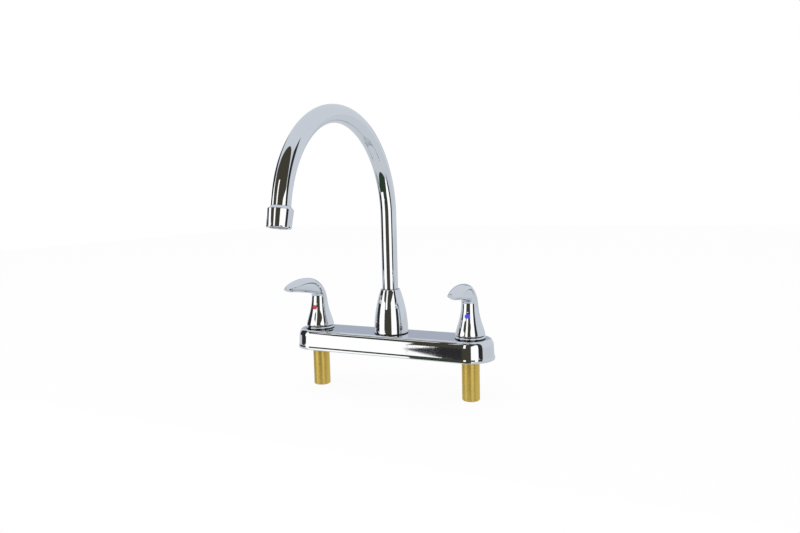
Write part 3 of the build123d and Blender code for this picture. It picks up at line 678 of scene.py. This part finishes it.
# Radius, height and slope of the bell's side at its foot, its waist and its neck.
BELL_SIDE = (
    (BELL_RADIUS - FOOT_IN + FOOT_FLARE, BELL_BOTTOM, -0.20),
    (*BELL_WAIST, -0.235),
    (NECK_RADIUS, BELL_TOP, -0.15),
)


def bell_profile(steps=22):
    """Two smooth curves from the bell's foot to its waist, and on to the neck."""
    points = []
    for (r0, z0, slope0), (r1, z1, slope1) in zip(BELL_SIDE, BELL_SIDE[1:]):
        rise = z1 - z0
        for step in range(steps):
            t = step / steps
            # The weights of the lower radius and slope and of the upper radius and slope.
            h = (2 * t ** 3 - 3 * t * t + 1, t ** 3 - 2 * t * t + t, 3 * t * t - 2 * t ** 3, t ** 3 - t * t)
            points.append((h[0] * r0 + h[1] * slope0 * rise + h[2] * r1 + h[3] * slope1 * rise,
                           z0 + t * rise))
    return points


round_rings = [(r, BELL_BOTTOM + z) for r, z in CAVITY]
foot_middle = (BELL_RADIUS - FOOT_IN - FOOT_ROUND, BELL_BOTTOM + FOOT_ROUND)
round_rings += rounding(foot_middle, FOOT_ROUND, -90, 5, 6)
round_rings += [(r, z) for r, z in bell_profile() if z > BELL_BOTTOM + FOOT_ROUND + FOOT_CLEAR]
print("round rings of the bell and its cavity:", len(round_rings))

# %% Raise the straight tube, then set its rings
total = len(round_rings) + len(lever_rings)
lever = start_circle("hot_lever_casting", RING_COUNT, 1.0, 0.0)
for _ in range(total - 1):
    bpy.ops.mesh.extrude_region_move(TRANSFORM_OT_translate={"value": (0, 0, MM)})
bpy.ops.mesh.edge_face_add()
bpy.ops.mesh.select_all(action="DESELECT")
bpy.ops.object.mode_set(mode="OBJECT")
for vertex in lever.data.vertices:
    # The tube's rings stand one millimetre apart, and a point's angle gives its number.
    ring_number = round(vertex.co.z / MM)
    j = round(atan2(vertex.co.y, vertex.co.x) % (2 * pi) / (2 * pi) * RING_COUNT) % RING_COUNT
    if ring_number < len(round_rings):
        point = round_point(*round_rings[ring_number], j)
    else:
        point = slice_point(lever_rings[ring_number - len(round_rings)], j)
    vertex.select = ring_number == 0
    vertex.co = Vector(point) * MM
bpy.ops.object.mode_set(mode="EDIT")
bpy.ops.mesh.edge_face_add()
close_skin(lever, merge=0.001)
print("one casting has", len(lever.data.vertices), "points in", total, "rings")

# %% [markdown]
# The levers are spread a little: each one points outwards by a few degrees. The casting is
# copied before it is turned, and the copy turns the other way.

# %% Two castings
LEVER_SPLAY = 3.5
shade(lever, angle=28, weighted=False)
cold_lever = own_copy(lever, "cold_lever_casting")
for piece, side in ((lever, "hot"), (cold_lever, "cold")):
    valve = VALVES[side]
    place(piece, x=valve["x"], turn=valve["outward"] * LEVER_SPLAY)
    dress(piece, f"{side}_lever", f"{side}_handle", CHROME)
print("lever tip at", round(min(v.co.y for v in lever.data.vertices) / MM, 1), "CAD:",
      round(corner("hot_handle")[0].y, 1))

# %% [markdown]
# ## Index buttons
# A small button closes the hole of the set screw on each handle: red for hot and blue for
# cold. Its face is slightly domed and its edge is rounded, so it catches one soft highlight.

# %% Index buttons
BUTTON_RADIUS = 3.1
BUTTON_DEPTH = 2.6
BUTTON_PROUD = 0.35
# How far the face's middle rises over its edge, as a share of BUTTON_PROUD, and its rings.
BUTTON_DOME = 0.35
BUTTON_RINGS = (2.2, 1.5, 0.8, NEARLY_NOTHING)
BUTTON_FACE = 11.3
BUTTON_HEIGHT = 51.0
button_profile = [(NEARLY_NOTHING, 0), (BUTTON_RADIUS, 0), (BUTTON_RADIUS, BUTTON_DEPTH)]
button_profile += rounding((BUTTON_RADIUS - BUTTON_PROUD, BUTTON_DEPTH), BUTTON_PROUD, 20, 80, 4)
for r in BUTTON_RINGS:
    dome = 1 + BUTTON_DOME - BUTTON_DOME * (r / BUTTON_RADIUS) ** 2
    button_profile.append((r, BUTTON_DEPTH + BUTTON_PROUD * dome))
button = turned("hot_index_button", button_profile, 48)
shade(button, weighted=False)
cold_button = own_copy(button, "cold_index_button")
for piece, side in ((button, "hot"), (cold_button, "cold")):
    valve = VALVES[side]
    angle = radians(valve["outward"] * LEVER_SPLAY)
    back = BUTTON_FACE - BUTTON_DEPTH
    place(piece, x=valve["x"] + back * sin(angle), y=-back * cos(angle), z=BUTTON_HEIGHT,
          tilt=90, turn=valve["outward"] * LEVER_SPLAY)
    dress(piece, f"{side}_lever", f"{side}_index_plug", FINISHES[f"{side}_index"])
print("buttons", 2 * BUTTON_RADIUS, "mm across, at", BUTTON_HEIGHT, "mm over the counter")

# %% [markdown]
# ## Spout hub
# The hub under the gooseneck is a tall dome, widest at the cover. Its side is one long arc.
# It turns with the spout, so a thin gap parts it from the cover.

# %% Profile of the hub
HUB_MIDDLE = 18.4
HUB_TOP_RADIUS = 11.6
HUB_WALL = 3.0
HUB_CAVITY_TOP = 41.0
HUB_TOP_ROUND = 0.6
HUB_TOP_IN = 0.35
HUB_FOOT_IN = 0.3
HUB_FOOT_UP = 0.25
TUBE_CLEARANCE = 0.05
HUB_BORE = TUBE_RADIUS + TUBE_CLEARANCE
FERRULE = 11.05


def hub_profile(steps=40):
    """The long arc is a circle through the hub's foot, middle and top."""
    height = HUB_TOP - HUB_BOTTOM
    a = Vector((HUB_RADIUS, 0.0))
    b = Vector((HUB_MIDDLE, height / 2))
    c = Vector((HUB_TOP_RADIUS, height))
    # The circle's centre is as far from a as it is from b and from c.
    ab, ac = b - a, c - a
    cross = 2 * (ab.x * ac.y - ab.y * ac.x)
    centre = a + Vector((ac.y * ab.length_squared - ab.y * ac.length_squared,
                         ab.x * ac.length_squared - ac.x * ab.length_squared)) / cross
    reach = (a - centre).length
    first = atan2(a.y - centre.y, a.x - centre.x)
    last = atan2(c.y - centre.y, c.x - centre.x)
    outside = []
    for i in range(steps + 1):
        angle = first + (last - first) * i / steps
        outside.append((centre.x + reach * cos(angle), HUB_BOTTOM + centre.y + reach * sin(angle)))
    outside = [p for p in outside if HUB_BOTTOM + HUB_FOOT_IN < p[1] < HUB_TOP - HUB_TOP_ROUND]
    top_middle = (HUB_TOP_RADIUS - HUB_TOP_IN, HUB_TOP - HUB_TOP_ROUND)
    edge = rounding(top_middle, HUB_TOP_ROUND, 15, 90, 5)
    inside = [
        (HUB_BORE, HUB_TOP),
        (HUB_BORE, TUBE_BOTTOM),
        (FERRULE, TUBE_BOTTOM),
        (FERRULE, HUB_CAVITY_TOP),
        (HUB_RADIUS - HUB_WALL, HUB_CAVITY_TOP - HUB_WALL),
    ]
    foot = [
        (HUB_RADIUS - HUB_WALL, HUB_BOTTOM),
        (HUB_RADIUS - HUB_FOOT_IN, HUB_BOTTOM),
        (HUB_RADIUS - EASE_IN, HUB_BOTTOM + HUB_FOOT_UP),
    ]
    return foot + outside + edge + inside + foot[:1]


hub = turned("spout_hub_shell", hub_profile(), 128)
shade(hub)
dress(hub, "spout", "spout_hub", CHROME)
print("hub", round(2 * HUB_RADIUS, 1), "mm wide and", round(HUB_TOP - HUB_BOTTOM, 1), "mm tall")

# %% [markdown]
# ## Gooseneck
# The spout is one 3/4 inch tube, bent on a former: a straight riser, one even arch and a short
# straight end. A curve with a bevel would do, but here the tube's end circle is swept by the
# spin operator, which is the former itself: a centre, an axis and an angle.

# %% Riser, arch and outlet
TUBE_COUNT = 96
RISER_TOP = 165.5
RISER_STEPS = 6
ARCH_RADIUS = 110.0
ARCH_TURN = 168.0
ARCH_STEPS = 96
OUTLET_RUN = 6.0
AERATOR_THREAD = 9.0
TUBE_WALL = 1.2
bent = radians(ARCH_TURN)
OUTLET_WAY = Vector((0, -sin(bent), cos(bent)))
ARCH_END = Vector((0, ARCH_RADIUS * (cos(bent) - 1), RISER_TOP + ARCH_RADIUS * sin(bent)))
OUTLET = ARCH_END + OUTLET_WAY * OUTLET_RUN

tube = start_circle("gooseneck_tube", TUBE_COUNT, TUBE_RADIUS, TUBE_BOTTOM)
for _ in range(RISER_STEPS):
    bpy.ops.mesh.extrude_region_move(
        TRANSFORM_OT_translate={"value": (0, 0, (RISER_TOP - TUBE_BOTTOM) / RISER_STEPS * MM)})
bpy.ops.mesh.spin(steps=ARCH_STEPS, angle=bent, center=(0, -ARCH_RADIUS * MM, RISER_TOP * MM),
                  axis=(-1, 0, 0))
bpy.ops.mesh.extrude_region_move(
    TRANSFORM_OT_translate={"value": tuple(OUTLET_WAY * (OUTLET_RUN + AERATOR_THREAD) * MM)})
close_skin(tube)
wall = tube.modifiers.new("tube_wall", "SOLIDIFY")
wall.thickness = TUBE_WALL * MM
wall.offset = -1
bpy.ops.object.modifier_apply(modifier="tube_wall")
shade(tube, weighted=False)
dress(tube, "spout", "spout_tube", CHROME)
print("gooseneck box in mm:", [round(d / MM, 1) for d in tube.dimensions], "CAD:",
      [round(v, 1) for v in corner("spout_tube")[1] - corner("spout_tube")[0]])

# %% [markdown]
# ## Aerator
# The chrome shell at the outlet widens from the tube with a short cone and tapers a little to
# its mouth. Eight notches in its lower rim take a wrench. The shell is turned upright, the
# notches are cut with a boolean, and then it is tipped over to the outlet's own direction.

# %% Turn the shell
AERATOR_LENGTH = 19.2
AERATOR_TOP = 12.3
AERATOR_END = 11.4
AERATOR_NECK = 10.0
AERATOR_NECK_EASE = 0.15
AERATOR_CONE = 2.6
# The soft crease over the cone: how far each ring lies in from AERATOR_TOP and over the cone.
AERATOR_CREASE = ((0.25, -0.3), (0.08, -0.08), (0.0, 0.15), (0.02, 0.5))
AERATOR_CHAMFER = 0.2
AERATOR_BORE = TUBE_RADIUS + TUBE_CLEARANCE
AERATOR_LIP = 1.8
AERATOR_MOUTH = 8.4
aerator_profile = [
    (AERATOR_BORE, 0),
    (AERATOR_NECK, 0),
    (AERATOR_NECK + AERATOR_NECK_EASE, EASE_UP),
    *[(AERATOR_TOP - inward, AERATOR_CONE + up) for inward, up in AERATOR_CREASE],
    (AERATOR_END, AERATOR_LENGTH - AERATOR_CHAMFER),
    (AERATOR_END - AERATOR_CHAMFER, AERATOR_LENGTH),
    (AERATOR_MOUTH, AERATOR_LENGTH),
    (AERATOR_MOUTH, AERATOR_LENGTH - AERATOR_LIP),
    (AERATOR_BORE, AERATOR_LENGTH - AERATOR_LIP),
    (AERATOR_BORE, 0),
]
aerator = turned("aerator_shell", aerator_profile, 128)
print("aerator shell", 2 * AERATOR_TOP, "mm wide and", AERATOR_LENGTH, "mm long")

# %% Cut the notches and tip it over
NOTCHES = 8
NOTCH_WIDTH = 2.0
NOTCH_DEPTH = 1.0
NOTCH_REACH = 2.4
cutters = []
for i in range(NOTCHES):
    angle = 2 * pi * i / NOTCHES
    rim = (AERATOR_TOP * cos(angle) * MM, AERATOR_TOP * sin(angle) * MM, AERATOR_LENGTH * MM)
    bpy.ops.object.select_all(action="DESELECT")
    bpy.ops.mesh.primitive_cube_add(size=1, location=rim, rotation=(0, 0, angle),
                                    scale=(2 * NOTCH_REACH * MM, NOTCH_WIDTH * MM, 2 * NOTCH_DEPTH * MM))
    cutters.append(bpy.context.object)
for cutter in cutters:
    cutter.select_set(True)
bpy.context.view_layer.objects.active = cutters[0]
bpy.ops.object.join()
cutter = bpy.context.object
select_alone(aerator)
cut = aerator.modifiers.new("notches", "BOOLEAN")
cut.operation = "DIFFERENCE"
cut.object = cutter
bpy.ops.object.modifier_apply(modifier="notches")
bpy.data.objects.remove(cutter)
shade(aerator)
place(aerator, y=OUTLET.y, z=OUTLET.z, tilt=ARCH_TURN)
dress(aerator, "spout", "aerator_housing", CHROME)
print("aerator lowest point", round(min(v.co.z for v in aerator.data.vertices) / MM, 2), "CAD:",
      round(corner("aerator_housing")[0].z, 2))

# %% [markdown]
# ## World and floor
# The background is white because the world is white, not because the faucet is lit more. The
# camera, mirrors and glass all see the same white, and only what lights plain surfaces is
# toned down. The floor is treated alike, and keeps a part of its own shade, so that the
# faucet's soft shadow still lies on it.

# %% White for every ray that looks
def combined(tree, operation, first, second):
    """One Math node over the outputs of two other nodes."""
    node = tree.nodes.new("ShaderNodeMath")
    node.operation = operation
    tree.links.new(first, node.inputs[0])
    tree.links.new(second, node.inputs[1])
    return node.outputs[0]


def seen_directly(tree):
    """1 where a camera, mirror or glass ray looks, and 0 where a surface gathers its light."""
    path = tree.nodes.new("ShaderNodeLightPath")
    highest = path.outputs["Is Camera Ray"]
    for kind in ("Is Glossy Ray", "Is Transmission Ray"):
        highest = combined(tree, "MAXIMUM", highest, path.outputs[kind])
    return highest


WORLD_LIGHT = 0.85
world = bpy.data.worlds.new("white_studio")
bpy.context.scene.world = world
world.use_nodes = True
background = world.node_tree.nodes["Background"]
background.inputs["Color"].default_value = (1, 1, 1, 1)
strength = world.node_tree.nodes.new("ShaderNodeMapRange")
strength.inputs["To Min"].default_value = WORLD_LIGHT
strength.inputs["To Max"].default_value = 1.0
world.node_tree.links.new(seen_directly(world.node_tree), strength.inputs["Value"])
world.node_tree.links.new(strength.outputs["Result"], background.inputs["Strength"])
print("the world lights plain surfaces at", WORLD_LIGHT)

# %% A white table top as the floor
FLOOR_FRONT = -200
FLOOR_BACK = 4000
FLOOR_SIDE = 3000
FLOOR_DROP = 0.2
FLOOR_WHITE = 0.93
FLOOR_SHADE = (0.9, 0.9, 0.9)
FLOOR_ROUGHNESS = 0.9


def table_plane(name, drop):
    """A level plane over the whole table, this many mm under the shanks' lower ends."""
    bpy.ops.object.select_all(action="DESELECT")
    bpy.ops.mesh.primitive_plane_add(size=1)
    plane = bpy.context.object
    plane.name = name
    plane.scale = (2 * FLOOR_SIDE * MM, (FLOOR_BACK - FLOOR_FRONT) * MM, 1)
    plane.location = (0, (FLOOR_BACK + FLOOR_FRONT) / 2 * MM, (SHANK_BOTTOM - drop) * MM)
    bpy.ops.object.transform_apply(location=True, rotation=True, scale=True)
    return plane


floor = table_plane("studio_floor", FLOOR_DROP)
floor_finish = bpy.data.materials.new("pale_floor")
floor_finish.use_nodes = True
nodes, links = floor_finish.node_tree.nodes, floor_finish.node_tree.links
matt = nodes["Principled BSDF"]
matt.inputs["Base Color"].default_value = (*FLOOR_SHADE, 1)
matt.inputs["Roughness"].default_value = FLOOR_ROUGHNESS
white = nodes.new("ShaderNodeEmission")
white.inputs["Color"].default_value = (1, 1, 1, 1)
share = nodes.new("ShaderNodeMath")
share.operation = "MULTIPLY"
share.inputs[1].default_value = FLOOR_WHITE
links.new(seen_directly(floor_finish.node_tree), share.inputs[0])
mixed = nodes.new("ShaderNodeMixShader")
links.new(share.outputs[0], mixed.inputs[0])
links.new(matt.outputs[0], mixed.inputs[1])
links.new(white.outputs[0], mixed.inputs[2])
links.new(mixed.outputs[0], nodes["Material Output"].inputs["Surface"])
floor.data.materials.append(floor_finish)
print("floor of", [round(d, 1) for d in floor.dimensions.xy], "m, seen as", FLOOR_WHITE, "plain white")

# %% [markdown]
# ## Cards round the faucet
# Chrome has no colour of its own: it shows the room. A plain white room would leave it flat
# and pale, so a photographer stands cards round it. White screens on both sides make the long
# bright bands, black cards at their outer edges draw crisp dark lines, and the camera's side
# of the room is dark. A low screen and a dark point below the camera put the bright field and
# the dark wedge in the cover's flat front, and a light bar over the cover brightens its soft
# edge. The cards are real planes that only mirrors see, so they turn no other surface brighter
# or darker, and the chrome shows them from every side.

# %% Card materials
def glowing(name, colour):
    """A card's colour, the same whatever the lamps do; the card is not sampled as a lamp."""
    finish = bpy.data.materials.new(name)
    finish.use_nodes = True
    nodes, links = finish.node_tree.nodes, finish.node_tree.links
    nodes.clear()
    light = nodes.new("ShaderNodeEmission")
    light.inputs["Color"].default_value = (*colour, 1)
    links.new(light.outputs[0], nodes.new("ShaderNodeOutputMaterial").inputs["Surface"])
    finish.cycles.emission_sampling = "NONE"
    return finish


def only_in_mirrors(card, finish):
    """A card wears its finish, and only glossy rays meet it."""
    card.data.materials.append(finish)
    for ray in ("camera", "diffuse", "transmission", "volume_scatter", "shadow"):
        setattr(card, f"visible_{ray}", False)


WHITE_CARD = glowing("white_card", (1.25, 1.25, 1.24))
BLACK_CARD = glowing("black_card", (0.03, 0.03, 0.032))
BLUE_CARD = glowing("blue_grey_card", (0.43, 0.47, 0.56))
PALE_CARD = glowing("pale_table_card", (0.64, 0.675, 0.72))
print("card colours:", WHITE_CARD.name, BLACK_CARD.name, BLUE_CARD.name, PALE_CARD.name)

# %% Stand the cards
def stand_card(name, start, end, low, high, finish, top_rise=0, low_rise=0):
    """A plane over the line from start to end, (x, y) in mm; its corners at end may rise."""
    along = Vector(end) - Vector(start)
    middle = (Vector(end) + Vector(start)) / 2
    bpy.ops.object.select_all(action="DESELECT")
    bpy.ops.mesh.primitive_plane_add(size=1)
    card = bpy.context.object
    card.name = name
    card.scale = (along.length * MM, (high - low) * MM, 1)
    card.rotation_euler = (pi / 2, 0, atan2(along.y, along.x))
    card.location = (middle.x * MM, middle.y * MM, (low + high) / 2 * MM)
    bpy.ops.object.transform_apply(location=True, rotation=True, scale=True)
    near_end = Vector(end) * MM
    for at_top, rise in ((True, top_rise), (False, low_rise)):
        grab(card, lambda p: (p.z > (low + high) / 2 * MM) == at_top
             and (p.xy - near_end).length < along.length * MM / 2)
        bpy.ops.transform.translate(value=(0, 0, rise * MM))
        bpy.ops.object.mode_set(mode="OBJECT")
    only_in_mirrors(card, finish)


# Each card: its name, start, end, lower and upper edge, finish, and how far its corners at
# the end rise, the upper one first.
CARDS = (
    ("studio_left_screen", (-290, -734), (-482, -673), -250, 280, WHITE_CARD, 20),
    ("studio_tall_screen", (-482, -673), (-973, -517), -250, 300, WHITE_CARD, 560),
    ("studio_low_screen", (-180, -740), (-290, -736), -125, -79, WHITE_CARD),
    ("studio_dark_point", (-150, -726), (-297, -726), -113, -70, BLACK_CARD, -20, 23),
    ("studio_low_gap", (-440, -260), (-440, -15), -49, 2, BLACK_CARD),
    ("studio_right_screen", (398, -748), (465, -243), -250, 340, WHITE_CARD),
    ("studio_right_gap", (465, -243), (424, -71), -250, 660, BLACK_CARD),
    ("studio_left_gap", (-973, -517), (-700, 190), -250, 700, BLACK_CARD),
    ("studio_window", (-860, -3000), (-160, -3000), 650, 2400, WHITE_CARD),
    ("studio_back_wall", (-3000, 2500), (0, 2500), 150, 950, BLUE_CARD),
    ("studio_edge_light", (-240, -177), (-20, -177), 175, 225, WHITE_CARD),
)
for card in CARDS:
    stand_card(*card)
print("cards that stand:", len(CARDS))

# %% [markdown]
# Faces that look down show the table. A pure white one would wipe out the levers' undersides,
# so one more card lies just over the floor: mirrors see it pale blue-grey, as a table is that
# the faucet itself keeps the light from.

# %% Lay a card on the table
TABLE_CARD_DROP = 0.1
only_in_mirrors(table_plane("studio_table_card", TABLE_CARD_DROP), PALE_CARD)
print("the table's card lies", round(FLOOR_DROP - TABLE_CARD_DROP, 2), "mm over the floor")

# %% [markdown]
# The room itself is a dome, six metres from the faucet all round. It is dark where the opening
# is that the camera looks through, down to a dark green floor, and pale everywhere else. The
# opening's three edges are straight, so each is the sign of one sum of the place on the dome.

# %% Dome
DOME = 6.0
DARK_ROOM = (0.060, 0.055, 0.040)
GREEN_FLOOR = (0.030, 0.052, 0.034)
PALE_ROOM = (0.68, 0.725, 0.78)
# Each edge by its sum: how much of the place's x, y and z counts. Positive is inside.
OPENING_TOP = (0, -2.7, -1)
OPENING_RIGHT = (-1, -5.0, 0)
OPENING_LEFT = (1, -2.6, 0)
OVER_GREEN = (0, -0.25, 1)
EDGE_BLUR = 0.05
bpy.ops.object.select_all(action="DESELECT")
bpy.ops.mesh.primitive_uv_sphere_add(segments=64, ring_count=32, radius=DOME)
room = bpy.context.object
room.name = "studio_dome"
bpy.ops.object.shade_smooth()
room_finish = glowing("studio_room", PALE_ROOM)
tree = room_finish.node_tree
where = tree.nodes.new("ShaderNodeTexCoord")


def opening_side(weights):
    """1 inside one straight edge of the opening, 0 outside, by the place on the dome."""
    product = tree.nodes.new("ShaderNodeVectorMath")
    product.operation = "DOT_PRODUCT"
    product.inputs[1].default_value = weights
    tree.links.new(where.outputs["Object"], product.inputs[0])
    edge = tree.nodes.new("ShaderNodeMapRange")
    edge.inputs["From Min"].default_value = -EDGE_BLUR
    edge.inputs["From Max"].default_value = EDGE_BLUR
    tree.links.new(product.outputs["Value"], edge.inputs["Value"])
    return edge.outputs["Result"]


inside = opening_side(OPENING_TOP)
for weights in (OPENING_RIGHT, OPENING_LEFT):
    inside = combined(tree, "MULTIPLY", inside, opening_side(weights))
opening_colour = mix_colours(tree, opening_side(OVER_GREEN), GREEN_FLOOR, DARK_ROOM)
room_colour = mix_colours(tree, inside, PALE_ROOM, opening_colour)
tree.links.new(room_colour, tree.nodes["Emission"].inputs["Color"])
only_in_mirrors(room, room_finish)

# %% [markdown]
# ## Lamps
# Two large soft lamps give the plain materials a little shape. They are kept out of the
# mirrors, where the cards already show the light.

# %% Soft lamps
FAUCET_MIDDLE = Vector((0, -0.08, 0.1))


def soft_lamp(name, place_at, power, size):
    """A large square lamp, placed in metres, that looks at the faucet's middle."""
    data = bpy.data.lights.new(name, "AREA")
    data.energy = power
    data.size = size
    lamp = bpy.data.objects.new(name, data)
    lamp.location = place_at
    lamp.rotation_euler = (FAUCET_MIDDLE - lamp.location).to_track_quat("-Z", "Y").to_euler()
    lamp.visible_glossy = False
    lamp.visible_camera = False
    bpy.context.collection.objects.link(lamp)
    return lamp


key_lamp = soft_lamp("key_lamp", (-1.1, -1.3, 1.4), power=9, size=1.2)
fill_lamp = soft_lamp("fill_lamp", (1.4, -0.9, 0.9), power=5, size=1.2)
print("lamps of", key_lamp.data.energy, "and", fill_lamp.data.energy, "watts")

# %% [markdown]
# ## Camera
# The camera stands a little above the faucet and to its right. Its lens, place and tilt were
# solved from the known sizes of the faucet, so the frame matches without any shift.

# %% Camera
LENS = 29.93
SENSOR = 36.0
CAMERA_AT = (354.66, -717.34, 190.68)
CAMERA_TURN = 25.419
CAMERA_DOWN = 6.148
CAMERA_ROLL = -1.397
turn, down, roll = radians(CAMERA_TURN), radians(CAMERA_DOWN), radians(CAMERA_ROLL)
back_way = Vector((sin(turn) * cos(down), -cos(turn) * cos(down), sin(down)))
right_way = Vector((cos(turn), sin(turn), 0))
up_way = back_way.cross(right_way)
rolled_right = cos(roll) * right_way + sin(roll) * up_way
rolled_up = -sin(roll) * right_way + cos(roll) * up_way
camera_data = bpy.data.cameras.new("camera")
camera_data.lens = LENS
camera_data.sensor_width = SENSOR
camera_data.clip_start = 0.01
camera = bpy.data.objects.new("camera", camera_data)
camera.matrix_world = (Matrix.Translation(Vector(CAMERA_AT) * MM)
                       @ Matrix((rolled_right, rolled_up, back_way)).transposed().to_4x4())
bpy.context.collection.objects.link(camera)
bpy.context.scene.camera = camera
bpy.context.scene.view_settings.view_transform = "Standard"
print("camera at", CAMERA_AT, "mm with a lens of", LENS, "mm")
